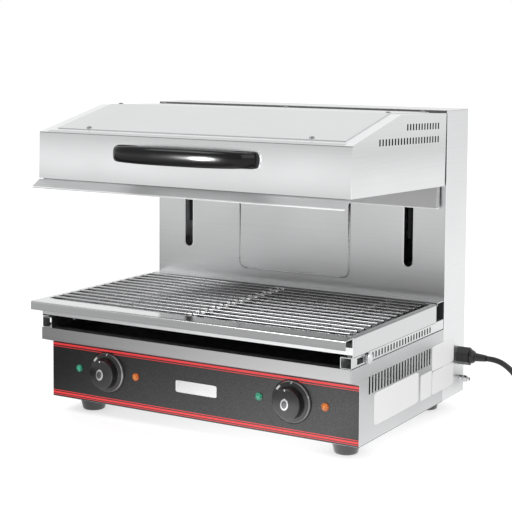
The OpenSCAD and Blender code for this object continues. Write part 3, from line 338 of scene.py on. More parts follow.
class Effects:
    """The node groups that several finishes share."""

    def __init__(self) -> None:
        """Builds each group once."""
        self.rolled = self._rolled()
        self.speckle = self._speckle()
        self.band = self._band()
        self.zone = self._zone()

    @staticmethod
    def _rolled() -> bpy.types.NodeTree:
        """Rolling grain of sheet metal: noise drawn out along one direction, and broad clouds.

        Returns:
            The group, with the outputs Grain and Cloud from 0 to 1.
        """
        group = EffectGroup(
            "rolled_grain",
            [("Vector", "NodeSocketVector", (0, 0, 0)), ("Rates", "NodeSocketVector", Run.ACROSS.value)],
            ["Grain", "Cloud"],
        )
        drawn = group.vector_sum("MULTIPLY", group.take("Vector"), group.take("Rates"))
        lines = group.noise(drawn, scale=1.0, detail=3.0, roughness=0.65)
        clouds = group.noise(group.take("Vector"), scale=7.0)
        group.give("Grain", group.spread(lines, 0.0, 1.0, start=0.3, end=0.7))
        group.give("Cloud", group.spread(clouds, 0.0, 1.0, start=0.32, end=0.68))
        return group.tree

    @staticmethod
    def _speckle() -> bpy.types.NodeTree:
        """Fine even grain of moulded and coated surfaces, with scattered wipe marks.

        Returns:
            The group, with the outputs Pits and Wipes from 0 to 1.
        """
        group = EffectGroup(
            "moulded_speckle",
            [("Vector", "NodeSocketVector", (0, 0, 0)), ("Size", "NodeSocketFloat", 900.0)],
            ["Pits", "Wipes"],
        )
        pits = group.noise(group.take("Vector"), group.take("Size"))
        wiping = (9.0, 9.0, 30.0)
        swept = group.vector_sum("MULTIPLY", group.take("Vector"), wiping)
        wipes = group.noise(swept, scale=1.0, detail=3.0, roughness=0.6)
        group.give("Pits", group.spread(pits, 0.0, 1.0, start=0.3, end=0.7))
        group.give("Wipes", group.spread(wipes, 0.0, 1.0, start=0.42, end=0.7))
        return group.tree

    @staticmethod
    def _band() -> bpy.types.NodeTree:
        """A stripe: 1 where a value lies between two limits, with soft edges, and 0 elsewhere.

        Returns:
            The group, with the output Mask.
        """
        group = EffectGroup(
            "stripe",
            [("Value", "NodeSocketFloat", 0.0), ("Low", "NodeSocketFloat", 0.0),
             ("High", "NodeSocketFloat", 1.0), ("Edge", "NodeSocketFloat", SOFT_EDGE)],
            ["Mask"],
        )
        inside = []
        for upper, lower in (("Value", "Low"), ("High", "Value")):
            depth = group.sum("SUBTRACT", group.take(upper), group.take(lower))
            ramp = group.sum("DIVIDE", depth, group.take("Edge"))
            inside.append(group.sum("ADD", ramp, 0.5, clamp=True))
        group.give("Mask", group.sum("MULTIPLY", inside[0], inside[1]))
        return group.tree

    @staticmethod
    def _zone() -> bpy.types.NodeTree:
        """A box: 1 where a point lies between two opposite corners, with soft edges, and 0 elsewhere.

        Returns:
            The group, with the output Mask.
        """
        labels = ("Vector", "Low", "High")
        inputs = [(label, "NodeSocketVector", (0, 0, 0)) for label in labels]
        group = EffectGroup("box_zone", inputs, ["Mask"])
        above = group.vector_sum("SUBTRACT", group.take("Vector"), group.take("Low"))
        below = group.vector_sum("SUBTRACT", group.take("High"), group.take("Vector"))
        x, y, z = group.axes(group.vector_sum("MINIMUM", above, below))
        depth = group.sum("MINIMUM", group.sum("MINIMUM", x, y), z)
        group.give("Mask", group.spread(depth, 0.0, 1.0, start=-SOFT_EDGE, end=SOFT_EDGE))
        return group.tree


class Surface(Bench):
    """One material: a Principled shader with whatever feeds it."""

    def __init__(self, name: str, effects: Effects) -> None:
        """Makes the material.

        Args:
            name: Name of the finish.
            effects: The shared node groups.
        """
        self.material = bpy.data.materials.new(name)
        self.material.use_nodes = True
        super().__init__(self.material.node_tree)
        self.effects = effects
        self.shader = self.tree.nodes["Principled BSDF"]
        self.place = self.add("ShaderNodeTexCoord").outputs["Object"]

    def plain(self, **values: object) -> None:
        """Sets numbers and colours on the shader's own sockets, with spaces written as underscores."""
        for key, value in values.items():
            self.shader.inputs[key.replace("_", " ")].default_value = value

    def drive(self, **sources: object) -> None:
        """Links the shader's sockets to values that change over the surface."""
        for key, source in sources.items():
            self.feed(self.shader.inputs[key.replace("_", " ")], source)

    def effect(self, tree: bpy.types.NodeTree, **values: object) -> bpy.types.Node:
        """Places a shared node group and sets its inputs."""
        node = self.add("ShaderNodeGroup", node_tree=tree)
        for key, value in values.items():
            self.feed(node.inputs[key], value)
        return node

    def speckle(self, size: float) -> tuple[bpy.types.NodeSocket, bpy.types.NodeSocket]:
        """Pits and wipe marks of a moulded or coated surface."""
        node = self.effect(self.effects.speckle, Vector=self.place, Size=size)
        return node.outputs["Pits"], node.outputs["Wipes"]

    def stripe(
        self, value: object, low: float, high: float, edge: float = SOFT_EDGE
    ) -> bpy.types.NodeSocket:
        """Mask of the values between two limits."""
        node = self.effect(self.effects.band, Value=value, Low=low, High=high, Edge=edge)
        return node.outputs["Mask"]

    def box(self, low_mm: Sequence[float], high_mm: Sequence[float]) -> bpy.types.NodeSocket:
        """Mask of the points between two opposite corners in the housing's coordinates."""
        low, high = tuple(placed(low_mm)), tuple(placed(high_mm))
        node = self.effect(self.effects.zone, Vector=self.place, Low=low, High=high)
        return node.outputs["Mask"]

    def radius(self, centres_mm: Sequence[tuple[float, float]]) -> bpy.types.NodeSocket:
        """Distance to the nearest of some axes that run from front to back.

        Args:
            centres_mm: X and Z of each axis in the housing's coordinates.

        Returns:
            The distance in metres.
        """
        nearest = None
        for x, z in centres_mm:
            offset = self.vector_sum("SUBTRACT", self.place, tuple(placed([x, 0.0, z])))
            node = self.add("ShaderNodeVectorMath", operation="LENGTH")
            self.feed(node.inputs[0], self.vector_sum("MULTIPLY", offset, (1.0, 0.0, 1.0)))
            away = node.outputs["Value"]
            nearest = away if nearest is None else self.sum("MINIMUM", nearest, away)
        return nearest

    def shades(
        self, share: object, tone: Colour, factors: tuple[float, float]
    ) -> bpy.types.NodeSocket:
        """Mixes two shades of one colour by a share."""
        first, second = (rgba(tone, factor) for factor in factors)
        return self.blend(share, first, second)

    def relief(self, height: object, distance: float) -> None:
        """Feeds a height through a Bump node to the shader's normal."""
        node = self.add("ShaderNodeBump")
        node.inputs["Strength"].default_value = 1.0
        node.inputs["Distance"].default_value = distance
        self.feed(node.inputs["Height"], height)
        self.drive(Normal=node.outputs[0])


def rgba(colour: Colour, factor: float = 1.0) -> tuple[float, float, float, float]:
    """A colour made lighter or darker by a factor, with full cover."""
    return (colour[0] * factor, colour[1] * factor, colour[2] * factor, 1.0)


# ------------------------------------------------------------------------------------------------
# Finishes


@dataclass(frozen=True)
class Zone:
    """A box in the housing's coordinates where a sheet is painted lighter or darker, and made glossier or
    duller; the finishes use it for painted highlights and painted shade.
    """

    low_mm: tuple[float, float, float]
    high_mm: tuple[float, float, float]
    tone: float
    gloss: float = 1.0


def zoned(
    surface: Surface,
    zones: Sequence[Zone],
    tone: Colour,
    colour: bpy.types.NodeSocket,
    rough: bpy.types.NodeSocket,
) -> tuple[bpy.types.NodeSocket, bpy.types.NodeSocket]:
    """Lays zones of painted highlight and painted shade over a colour and a roughness.

    Args:
        surface: The material that is being built.
        zones: The boxes, later ones over earlier ones.
        tone: The metal's plain colour.
        colour: Its colour so far.
        rough: Its roughness so far.

    Returns:
        The colour and the roughness with the zones in them.
    """
    for zone in zones:
        mask = surface.box(zone.low_mm, zone.high_mm)
        colour = surface.blend(mask, colour, rgba(tone, zone.tone))
        rough = surface.sum("MULTIPLY", rough, surface.spread(mask, 1.0, zone.gloss))
    return colour, rough


@dataclass(frozen=True)
class Crown:
    """Faint outward bulge of a face along its height: out = -depth * ((z - middle) / half)^2."""

    middle_mm: float
    half_mm: float
    depth_mm: float


@dataclass(frozen=True)
class Finish:
    """A named look: it makes a material and fills it with nodes."""

    name: str

    def make(self, effects: Effects) -> bpy.types.Material:
        """Builds the material."""
        surface = Surface(self.name, effects)
        self.fill(surface)
        return surface.material

    def fill(self, surface: Surface) -> None:
        """Adds the finish's nodes. Each kind of finish has its own."""
        raise NotImplementedError


@dataclass(frozen=True)
class SheetSteel(Finish):
    """Satin stainless sheet: rolling grain in the gloss and the relief, and faint clouds in the colour."""

    tone: Colour = (0.74, 0.745, 0.75)
    gloss: tuple[float, float] = (0.26, 0.38)
    run: Run = Run.ACROSS
    relief_mm: float = 0.004
    zones: tuple[Zone, ...] = ()
    crown: Crown | None = None
    streak_tones: tuple[float, float] = (0.965, 1.02)
    cloud_tone: float = 0.955
    cloud_share: float = 0.35

    def height(self, surface: Surface, grain: bpy.types.NodeSocket) -> bpy.types.NodeSocket:
        """Height of the surface in metres: its grain, and its bulge if it has one."""
        fine = surface.sum("MULTIPLY", grain, self.relief_mm / MM_PER_M)
        if self.crown is None:
            return fine
        middle = float(ORIGIN[2]) + self.crown.middle_mm / MM_PER_M
        above = surface.sum("SUBTRACT", surface.axes(surface.place)[2], middle)
        share = surface.sum("DIVIDE", above, self.crown.half_mm / MM_PER_M)
        square = surface.sum("MULTIPLY", share, share)
        bulge = surface.sum("MULTIPLY", square, -self.crown.depth_mm / MM_PER_M)
        return surface.sum("ADD", fine, bulge)

    def fill(self, surface: Surface) -> None:
        """Adds the finish's nodes."""
        rolled = surface.effect(surface.effects.rolled, Vector=surface.place, Rates=self.run.value)
        grain, cloud = rolled.outputs["Grain"], rolled.outputs["Cloud"]
        streaked = surface.shades(grain, self.tone, self.streak_tones)
        share = surface.sum("MULTIPLY", cloud, self.cloud_share)
        clouded = surface.blend(share, streaked, rgba(self.tone, self.cloud_tone))
        middle = sum(self.gloss) / 2
        from_grain = surface.spread(grain, self.gloss[0], middle)
        from_cloud = surface.spread(cloud, 0.0, self.gloss[1] - middle)
        rough = surface.sum("ADD", from_grain, from_cloud)
        colour, rough = zoned(surface, self.zones, self.tone, clouded, rough)
        surface.plain(Metallic=1.0)
        surface.drive(Base_Color=colour, Roughness=rough)
        surface.relief(self.height(surface, grain), 1.0)


@dataclass(frozen=True)
class BrightMetal(Finish):
    """Plated or polished metal: even colour, small differences in gloss, and specks where it has dulled."""

    tone: Colour
    gloss: tuple[float, float] = (0.08, 0.2)
    dull: float = 0.25
    scale: float = 60.0
    metallic: float = 1.0
    zones: tuple[Zone, ...] = ()
    worn_tone: float = 0.7
    pit_rate: float = 14.0
    pit_depth: float = 0.00001

    def fill(self, surface: Surface) -> None:
        """Adds the finish's nodes."""
        patches = surface.noise(surface.place, self.scale, detail=3.0, roughness=0.6)
        worn = surface.spread(patches, 0.0, 1.0, start=0.45, end=0.72)
        pits, _ = surface.speckle(self.scale * self.pit_rate)
        share = surface.sum("MULTIPLY", worn, self.dull)
        dulled = surface.shades(share, self.tone, (1.0, self.worn_tone))
        rough = surface.spread(worn, *self.gloss)
        colour, rough = zoned(surface, self.zones, self.tone, dulled, rough)
        surface.plain(Metallic=self.metallic)
        surface.drive(Base_Color=colour, Roughness=rough)
        surface.relief(pits, self.pit_depth)


@dataclass(frozen=True)
class Moulding(Finish):
    """Moulded plastic, rubber or ceramic: fine pits, and wipe marks that change the gloss."""

    tone: Colour
    gloss: tuple[float, float]
    pits_mm: float = 0.02
    size: float = 900.0
    dust: float = 0.06
    mirror: float = 0.5
    pit_tones: tuple[float, float] = (0.9, 1.1)
    dust_tone: float = 0.4

    def fill(self, surface: Surface) -> None:
        """Adds the finish's nodes."""
        pits, wipes = surface.speckle(self.size)
        fine = surface.shades(pits, self.tone, self.pit_tones)
        dusty = tuple(c + self.dust * self.dust_tone for c in self.tone)
        share = surface.sum("MULTIPLY", wipes, self.dust)
        surface.plain(Metallic=0.0, Specular_IOR_Level=self.mirror)
        surface.drive(
            Base_Color=surface.blend(share, fine, rgba(dusty)),
            Roughness=surface.spread(wipes, *self.gloss),
        )
        surface.relief(pits, self.pits_mm / MM_PER_M)


@dataclass(frozen=True)
class StripedFilm(Finish):
    """Dark satin film with fine grain and level stripes printed along its upper and lower edge; the stripes
    also glow a little, as painted light.
    """

    tone: Colour
    stripe: Colour
    heights_mm: tuple[tuple[float, float], ...]
    glow: float = 0.28
    gloss: tuple[float, float] = (0.3, 0.36)
    mirror: tuple[float, float] = (0.62, 1.0)
    grain_size: float = 620.0
    grain_tones: tuple[float, float] = (0.82, 1.2)
    grain_depth: float = 0.00005

    def fill(self, surface: Surface) -> None:
        """Adds the finish's nodes. Each stripe lies between two heights."""
        pits, wipes = surface.speckle(self.grain_size)
        ground = surface.shades(pits, self.tone, self.grain_tones)
        height = surface.axes(surface.place)[2]
        mask = None
        for limits in self.heights_mm:
            low, high = (float(ORIGIN[2]) + limit / MM_PER_M for limit in limits)
            inside = surface.stripe(height, low, high)
            mask = inside if mask is None else surface.sum("MAXIMUM", mask, inside)
        surface.plain(Metallic=0.0, Emission_Color=rgba(self.stripe))
        surface.drive(
            Base_Color=surface.blend(mask, ground, rgba(self.stripe)),
            Roughness=surface.spread(wipes, *self.gloss),
            Specular_IOR_Level=surface.spread(pits, *self.mirror),
            # The stripes' glow is painted light on the printed red.
            Emission_Strength=surface.sum("MULTIPLY", mask, self.glow),
        )
        surface.relief(pits, self.grain_depth)


@dataclass(frozen=True)
class LampLens(Finish):
    """Coloured lens with pressed rings round each lamp's middle, deeper in colour towards its rim."""

    tone: Colour
    deep: Colour
    centres_mm: tuple[tuple[float, float], ...]
    glow: float = 0.25
    gloss: tuple[float, float] = (0.08, 0.22)
    rim: tuple[float, float] = (0.001, 0.0065)
    rim_share: float = 0.6
    ring_rate: float = 5200.0
    ring_depth: float = 0.00025

    def fill(self, surface: Surface) -> None:
        """Adds the finish's nodes. The distance to the nearest lamp's axis sets the colour and the rings."""
        nearest = surface.radius(self.centres_mm)
        outward = surface.spread(nearest, 0.0, 1.0, *self.rim)
        rim = surface.sum("MULTIPLY", outward, self.rim_share)
        facets = surface.noise(surface.place, scale=420.0, detail=1.0)
        patches = surface.spread(facets, 0.0, 0.5, start=0.4, end=0.6)
        share = surface.sum("ADD", rim, patches, clamp=True)
        colour = surface.blend(share, rgba(self.tone), rgba(self.deep))
        rough = surface.spread(facets, *self.gloss)
        surface.plain(Metallic=0.0, Emission_Strength=self.glow, Coat_Weight=0.6, Coat_Roughness=0.05)
        surface.drive(Base_Color=colour, Emission_Color=colour, Roughness=rough)
        rings = surface.sum("SINE", surface.sum("MULTIPLY", nearest, self.ring_rate), 0.0)
        surface.relief(rings, self.ring_depth)


@dataclass(frozen=True)
class TurnedKnob(Finish):
    """Satin black knob: fine grain, domed faces, and a lighter metallic ring at its skirt's rim, painted as
    the highlight there.

    The dome is out = -dome * (r / size)^2, with r from the knob's axis.
    """

    tone: Colour
    centres_mm: tuple[tuple[float, float], ...]
    edge_mm: tuple[float, float] = (32.4, 33.9)
    rim_highlight_tone: Colour = (0.34, 0.34, 0.345)
    edge_metal: float = 0.85
    edge_soft: float = 0.0003
    size_mm: float = 20.0
    dome_mm: float = 2.4
    gloss: tuple[float, float] = (0.28, 0.36)
    grain_size: float = 900.0
    grain_tones: tuple[float, float] = (0.9, 1.1)
    grain_depth: float = 0.000004

    def fill(self, surface: Surface) -> None:
        """Adds the finish's nodes. The distance to the nearest knob's axis sets the dome and the painted
        highlight ring at the skirt's rim.
        """
        pits, wipes = surface.speckle(self.grain_size)
        radius = surface.radius(self.centres_mm)
        low, high = (limit / MM_PER_M for limit in self.edge_mm)
        edge = surface.stripe(radius, low, high, self.edge_soft)
        share = surface.sum("DIVIDE", radius, self.size_mm / MM_PER_M)
        square = surface.sum("MULTIPLY", share, share)
        dome = surface.sum("MULTIPLY", square, -self.dome_mm / MM_PER_M)
        ground = surface.shades(pits, self.tone, self.grain_tones)
        surface.plain(Specular_IOR_Level=0.75)
        # The grey metallic ring at the skirt's rim is a painted highlight.
        surface.drive(
            Base_Color=surface.blend(edge, ground, rgba(self.rim_highlight_tone)),
            Metallic=surface.sum("MULTIPLY", edge, self.edge_metal),
            Roughness=surface.spread(wipes, *self.gloss),
        )
        surface.relief(surface.sum("MULTIPLY_ADD", pits, self.grain_depth, dome), 1.0)


@dataclass(frozen=True)
class HotTube(Finish):
    """Sheath of a heating tube: grey-brown oxide with straw and blue patches from the heat."""

    oxide: Colour = (0.17, 0.145, 0.12)
    straw: Colour = (0.3, 0.24, 0.17)
    blue: Colour = (0.12, 0.14, 0.2)
    gloss: tuple[float, float] = (0.42, 0.6)
    grain_size: float = 1500.0
    grain_depth: float = 0.00003

    def fill(self, surface: Surface) -> None:
        """Adds the finish's nodes."""
        patches = surface.noise(surface.place, scale=28.0, detail=3.0, roughness=0.55)
        warm = surface.spread(patches, 0.0, 1.0, start=0.4, end=0.62)
        hot = surface.spread(patches, 0.0, 0.7, start=0.6, end=0.75)
        brown = surface.blend(warm, rgba(self.oxide), rgba(self.straw))
        pits, _ = surface.speckle(self.grain_size)
        surface.plain(Metallic=0.85)
        surface.drive(
            Base_Color=surface.blend(hot, brown, rgba(self.blue)),
            Roughness=surface.spread(pits, *self.gloss),
        )
        surface.relief(pits, self.grain_depth)


@dataclass(frozen=True)
class WoolMat(Finish):
    """Pressed mineral wool: tangled fibres in yellow and grey."""

    dark: Colour = (0.42, 0.36, 0.2)
    pale: Colour = (0.74, 0.68, 0.47)
    gloss: tuple[float, float] = (0.85, 1.0)
    layering: tuple[float, float, float] = (1.0, 1.0, 3.5)
    fibre_depth: float = 0.0025

    def fill(self, surface: Surface) -> None:
        """Adds the finish's nodes."""
        layered = surface.vector_sum("MULTIPLY", surface.place, self.layering)
        fibres = surface.noise(layered, scale=160.0, detail=6.0, roughness=0.75)
        share = surface.spread(fibres, 0.0, 1.0, start=0.35, end=0.65)
        surface.plain(Metallic=0.0, Sheen_Weight=0.3)
        surface.drive(
            Base_Color=surface.blend(share, rgba(self.dark), rgba(self.pale)),
            Roughness=surface.spread(fibres, *self.gloss),
        )
        surface.relief(fibres, self.fibre_depth)


@dataclass(frozen=True)
class TwistedRope(Finish):
    """Wire rope: slanting strands, with painted shade in the gaps between them."""

    gap_shade: Colour = (0.08, 0.08, 0.085)
    wire: Colour = (0.5, 0.5, 0.5)
    gloss: tuple[float, float] = (0.5, 0.28)
    strand_rate: float = 180.0
    strand_depth: float = 0.0003

    def fill(self, surface: Surface) -> None:
        """Adds the finish's nodes. The strands are bands of x + y + z."""
        wave = surface.add("ShaderNodeTexWave", wave_type="BANDS", bands_direction="DIAGONAL")
        surface.feed(wave.inputs["Vector"], surface.place)
        surface.feed(wave.inputs["Scale"], self.strand_rate)
        surface.feed(wave.inputs["Distortion"], 0.4)
        strands = wave.outputs[1]
        surface.plain(Metallic=1.0)
        surface.drive(
            Base_Color=surface.blend(strands, rgba(self.gap_shade), rgba(self.wire)),
            Roughness=surface.spread(strands, *self.gloss),
        )
        surface.relief(strands, self.strand_depth)


@dataclass(frozen=True)
class LabelFoil(Finish):
    """Bare plate or label: coated foil with a faint wrinkle and a fine grain."""

    tone: Colour
    metallic: float
    gloss: tuple[float, float]
    grain_tones: tuple[float, float] = (0.97, 1.02)
    grain_size: float = 1100.0
    wrinkle_depth: float = 0.00008

    def fill(self, surface: Surface) -> None:
        """Adds the finish's nodes."""
        wrinkle = surface.noise(surface.place, scale=40.0)
        pits, _ = surface.speckle(self.grain_size)
        surface.plain(Metallic=self.metallic)
        surface.drive(
            Base_Color=surface.shades(pits, self.tone, self.grain_tones),
            Roughness=surface.spread(wrinkle, *self.gloss, start=0.35, end=0.65),
        )
        surface.relief(wrinkle, self.wrinkle_depth)


# Painted shade: the insides of the side rails' boxes are painted nearly black, where shade falls.
RAIL_INSIDE_SHADE = (
    ((-298.4, -30.0, 128.8), (-281.2, 330.0, 144.3)),
    ((281.2, -30.0, 128.8), (298.4, 330.0, 144.3)),
)
STEEL_FRONT = SheetSteel("satin_steel_across")
# Painted highlight: a lighter strip along the right column side's front edge.
STEEL_LEVEL = SheetSteel(
    "satin_steel_level", tone=(0.78, 0.785, 0.79), run=Run.LEVEL,
    zones=(Zone((296.0, 325.0, -1.0), (301.0, 328.4, 508.0), 1.25),),
)
# Painted shade: a dark strip along the right body side's lower edge.
STEEL_BODY = SheetSteel(
    "satin_steel_body", tone=(0.59, 0.595, 0.6), run=Run.LEVEL,
    zones=(Zone((299.0, -5.0, -0.5), (301.0, 330.0, 1.1), 0.4),),
)
# Painted shade and highlight: the crease's steel is darker than the panel, as the shade along it, and its
# bottom run is painted lighter, as a highlight.
STEEL_CREASE = SheetSteel(
    "satin_steel_crease", tone=(0.52, 0.525, 0.53), gloss=(0.24, 0.32), relief_mm=0.002,
    zones=(Zone((-97.0, 322.0, 197.0), (97.0, 330.0, 204.0), 1.75),),
)
# Painted light on the hood: above the front face's top bend the sheet is painted lighter, its front strip a
# little darker; a painted highlight runs down the right front edge, and a painted shade line runs along the
# top bend.
STEEL_HOOD = SheetSteel(
    "satin_steel_hood", gloss=(0.16, 0.24), run=Run.LEVEL, relief_mm=0.002,
    crown=Crown(428.0, 40.0, 0.9),
    zones=(
        Zone((-298.9, -40.0, 467.8), (298.9, 330.0, 520.0), 1.15),
        Zone((-285.0, -40.0, 467.8), (285.0, -22.0, 520.0), 0.78),
        Zone((298.7, -40.0, 370.0), (300.5, -35.6, 466.0), 1.2),
        Zone((-300.0, -40.0, 466.2), (300.0, -30.0, 467.6), 0.5),
    ),
)
STEEL_DEEP = SheetSteel(
    "satin_steel_deep", run=Run.DEEP, zones=tuple(Zone(*corners, 0.05) for corners in RAIL_INSIDE_SHADE),
)
# Painted shade: a dark strip on the column top's front edge, above the hood.
STEEL_TOP = SheetSteel(
    "satin_steel_top", tone=(0.78, 0.78, 0.79),
    zones=(Zone((-301.0, 325.6, 500.0), (301.0, 327.0, 507.4), 0.22),),
)
# Painted highlights: lighter strips along the edges of the two slots.
STEEL_COLUMN = SheetSteel(
    "satin_steel_column", tone=(0.81, 0.815, 0.82), gloss=(0.28, 0.36), relief_mm=0.002,
    zones=(
        Zone((219.6, 322.0, 234.0), (222.3, 330.0, 476.0), 1.5),
        Zone((-222.3, 322.0, 234.0), (-220.2, 330.0, 476.0), 1.4),
    ),
)
# The shield's darker tone is partly its duller steel and partly painted shade under the hood; the bright
# strip at its lower edge is a painted highlight.
STEEL_SHIELD = SheetSteel(
    "dull_shaded_steel_shield", tone=(0.56, 0.56, 0.565), gloss=(0.3, 0.42), relief_mm=0.006,
    zones=(Zone((-300.0, 300.0, 336.6), (300.0, 330.0, 340.2), 1.9),),
)
# Painted highlight: a bright strip along the lip's lower edge.
STEEL_LIP = SheetSteel(
    "satin_steel_lip", tone=(0.63, 0.635, 0.64), gloss=(0.54, 0.64), relief_mm=0.003,
    zones=(Zone((-300.0, -60.0, 372.0), (300.0, -30.0, 375.2), 1.6),),
)
# The sill's darker tone is partly its duller finish and partly painted shade under the tray's grip.
STEEL_SILL = SheetSteel("dull_shaded_steel_sill", tone=(0.54, 0.54, 0.545), gloss=(0.36, 0.46), relief_mm=0.01)
# Painted light on the tray: the grip's hollow is painted nearly black as shade, the strip below the grip
# lighter as a highlight, and the floor inside darker to dim its reflections; the right wall is a little
# darker, with painted shade lines along its lower and upper edge.
STEEL_TRAY = SheetSteel(
    "bright_steel_tray", tone=(0.72, 0.725, 0.73), gloss=(0.09, 0.14), relief_mm=0.002,
    zones=(
        Zone((-304.0, -55.4, 161.0), (304.0, -27.4, 176.2), 0.14),
        Zone((-304.0, -30.0, 145.0), (304.0, -27.0, 161.2), 1.36, 4.0),
        Zone((-292.5, -19.0, 160.0), (292.5, 287.0, 175.8), 0.6, 0.5),
        Zone((301.5, -26.5, 145.0), (304.0, 292.0, 177.5), 0.86),
        Zone((301.5, -26.5, 145.0), (304.0, 292.0, 146.9), 0.35),
        Zone((301.5, -26.5, 175.7), (304.0, 292.0, 177.5), 0.4),
    ),
)
STEEL_MIRROR = SheetSteel(
    "bright_steel_reflector", tone=(0.42, 0.42, 0.42), gloss=(0.36, 0.46), run=Run.PLAIN, relief_mm=0.006,
)
STEEL_INSIDE = SheetSteel("mill_steel_inside", tone=(0.6, 0.6, 0.61), gloss=(0.34, 0.46), run=Run.PLAIN)
# Painted light on the middle runner: its top is painted lighter as a highlight, and its lower side darker as
# shade.
CHROME = BrightMetal(
    "chromed_wire", (0.62, 0.62, 0.63), gloss=(0.07, 0.16),
    zones=(
        Zone((-9.0, -20.0, 160.0), (9.0, 290.0, 174.3), 0.3, 2.0),
        Zone((-8.6, -20.0, 174.3), (8.6, 290.0, 181.0), 1.6, 2.5),
    ),
)
PLATED = BrightMetal("plated_screws", (0.72, 0.72, 0.73), gloss=(0.16, 0.3), scale=140.0)
GROUND_STEEL = BrightMetal("ground_rod", (0.74, 0.74, 0.75), gloss=(0.1, 0.18))
ZINC = BrightMetal("zinc_plate", (0.5, 0.52, 0.55), gloss=(0.3, 0.48), dull=0.5, scale=45.0)
SCREW_DOMES = BrightMetal("smoky_screws", (0.3, 0.3, 0.31), gloss=(0.16, 0.26), scale=140.0)
# Painted shade: the lift's near-black tone stands in for the dark inside of the column, seen through the
# slots.
DARK_LIFT = BrightMetal("shaded_black_lift", (0.01, 0.01, 0.011), gloss=(0.4, 0.55), dull=0.3, metallic=0.5)
BRONZE = BrightMetal("sintered_bronze", (0.62, 0.43, 0.22), gloss=(0.3, 0.46), dull=0.4, scale=120.0)
# On the inner deck the near-black tone is painted shade, for the dark gap under the tray.
DARK_SHEET = BrightMetal(
    "dark_coated_and_shaded_sheet", (0.05, 0.05, 0.053), gloss=(0.4, 0.55), dull=0.3, metallic=0.3,
)
CAST_WEIGHT = Moulding("black_cast_iron", (0.035, 0.035, 0.038), (0.5, 0.7), pits_mm=0.25, size=420.0)
GLOSS_BLACK = Moulding(
    "gloss_black_handle", (0.004, 0.004, 0.0045), (0.12, 0.17), pits_mm=0.001, dust=0.015, mirror=0.25,
)
KNOB_BLACK = TurnedKnob("satin_black_knob", (0.009, 0.009, 0.0095), ((-181.0, 56.0), (181.0, 56.0)))
RUBBER = Moulding(
    "black_rubber", (0.014, 0.014, 0.015), (0.24, 0.36), pits_mm=0.01, size=700.0, dust=0.08, mirror=0.9,
)
CORD_SHEATH = Moulding("cord_sheath", (0.02, 0.02, 0.021), (0.42, 0.55), pits_mm=0.015, dust=0.1)
GLAND = Moulding("black_polyamide", (0.014, 0.014, 0.015), (0.34, 0.46), pits_mm=0.02)
CERAMIC = Moulding("pale_ceramic", (0.62, 0.59, 0.5), (0.4, 0.55), pits_mm=0.03, size=500.0)
THERMOSET = Moulding("ivory_thermoset", (0.6, 0.56, 0.45), (0.32, 0.45), pits_mm=0.02)
WHITE_PRINT = Moulding("white_print", (0.86, 0.86, 0.85), (0.4, 0.5), pits_mm=0.004)
FILM = StripedFilm(
    "dark_film_with_stripes", (0.006, 0.006, 0.0065), (0.9, 0.03, 0.035),
    ((91.6, 95.2), (88.5, 89.5), (10.4, 11.5), (5.6, 8.5), (2.9, 3.9)),
)
GREEN_LENS = LampLens("green_lens", (0.06, 0.55, 0.33), (0.0, 0.14, 0.08), ((-241.0, 56.0), (121.0, 56.0)))
AMBER_LENS = LampLens("amber_lens", (0.95, 0.34, 0.06), (0.5, 0.08, 0.0), ((-121.0, 56.0), (241.0, 56.0)))
HOT_TUBE = HotTube("oxidised_tube")
WOOL = WoolMat("mineral_wool")
ROPE = TwistedRope("wire_rope")
BADGE_SILVER = LabelFoil("bare_silver_badge", (0.82, 0.82, 0.82), 0.9, (0.2, 0.28))
INLAY_SILVER = LabelFoil("bare_silver_inlay", (0.62, 0.62, 0.63), 0.9, (0.26, 0.34))
INLAY_FIELD = LabelFoil("bare_grey_inlay_field", (0.16, 0.16, 0.165), 0.9, (0.3, 0.4))
LABEL_WHITE = LabelFoil("bare_white_label", (0.9, 0.9, 0.9), 0.0, (0.4, 0.55))

NODE_FINISHES: dict[Finish, list[str]] = {
    STEEL_FRONT: ["hood_cover", "column_back_panel"],
    STEEL_TOP: ["column_top"],
    STEEL_HOOD: ["hood_shell"],
    STEEL_LIP: ["hood_lip"],
    STEEL_SHIELD: ["hood_rear_shield"],
    STEEL_LEVEL: ["column_side_left", "column_side_right"],
    STEEL_BODY: ["body_side_left", "body_side_right"],
    STEEL_COLUMN: ["column_front_panel"],
    STEEL_DEEP: ["side_rail_left", "side_rail_right"],
    STEEL_SILL: ["sill"],
    STEEL_TRAY: ["rack_tray"],
    STEEL_MIRROR: ["heat_reflector"],
    STEEL_INSIDE: ["base_pan"],
    DARK_SHEET: ["inner_deck", "control_panel"],
    FILM: ["panel_film"],
    CHROME: ["wire_rack_left", "wire_rack_right"],
    PLATED: ["rail_thumbscrews", "back_panel_screws", "foot_studs", "earthing_stud", "plug_pins"],
    SCREW_DOMES: ["hood_screws"],
    GROUND_STEEL: ["guide_rods", "shaft_left", "shaft_right"],
    DARK_LIFT: ["lift_carriage"],
    ZINC: ["rod_brackets", "pulley_brackets", "pulley_left", "pulley_right", "element_brackets"],
    BRONZE: ["guide_bushes"],
    CAST_WEIGHT: ["counterweight"],
    KNOB_BLACK: ["knob_left", "knob_right"],
    GLOSS_BLACK: ["hood_handle"],
    RUBBER: ["rubber_feet"],
    CORD_SHEATH: ["strain_relief", "power_cord", "cord_coil", "plug_body"],
    GLAND: ["cord_gland", "gland_dome_nut"],
    CERAMIC: ["power_regulators", "hood_terminals"],
    THERMOSET: ["mains_terminals"],
    GREEN_LENS: ["pilot_lamps_green"],
    AMBER_LENS: ["pilot_lamps_amber"],
    HOT_TUBE: ["heater_left", "heater_right"],
    WOOL: ["hood_insulation"],
    ROPE: ["rope_wraps", "rope_front_runs", "rope_back_runs"],
}


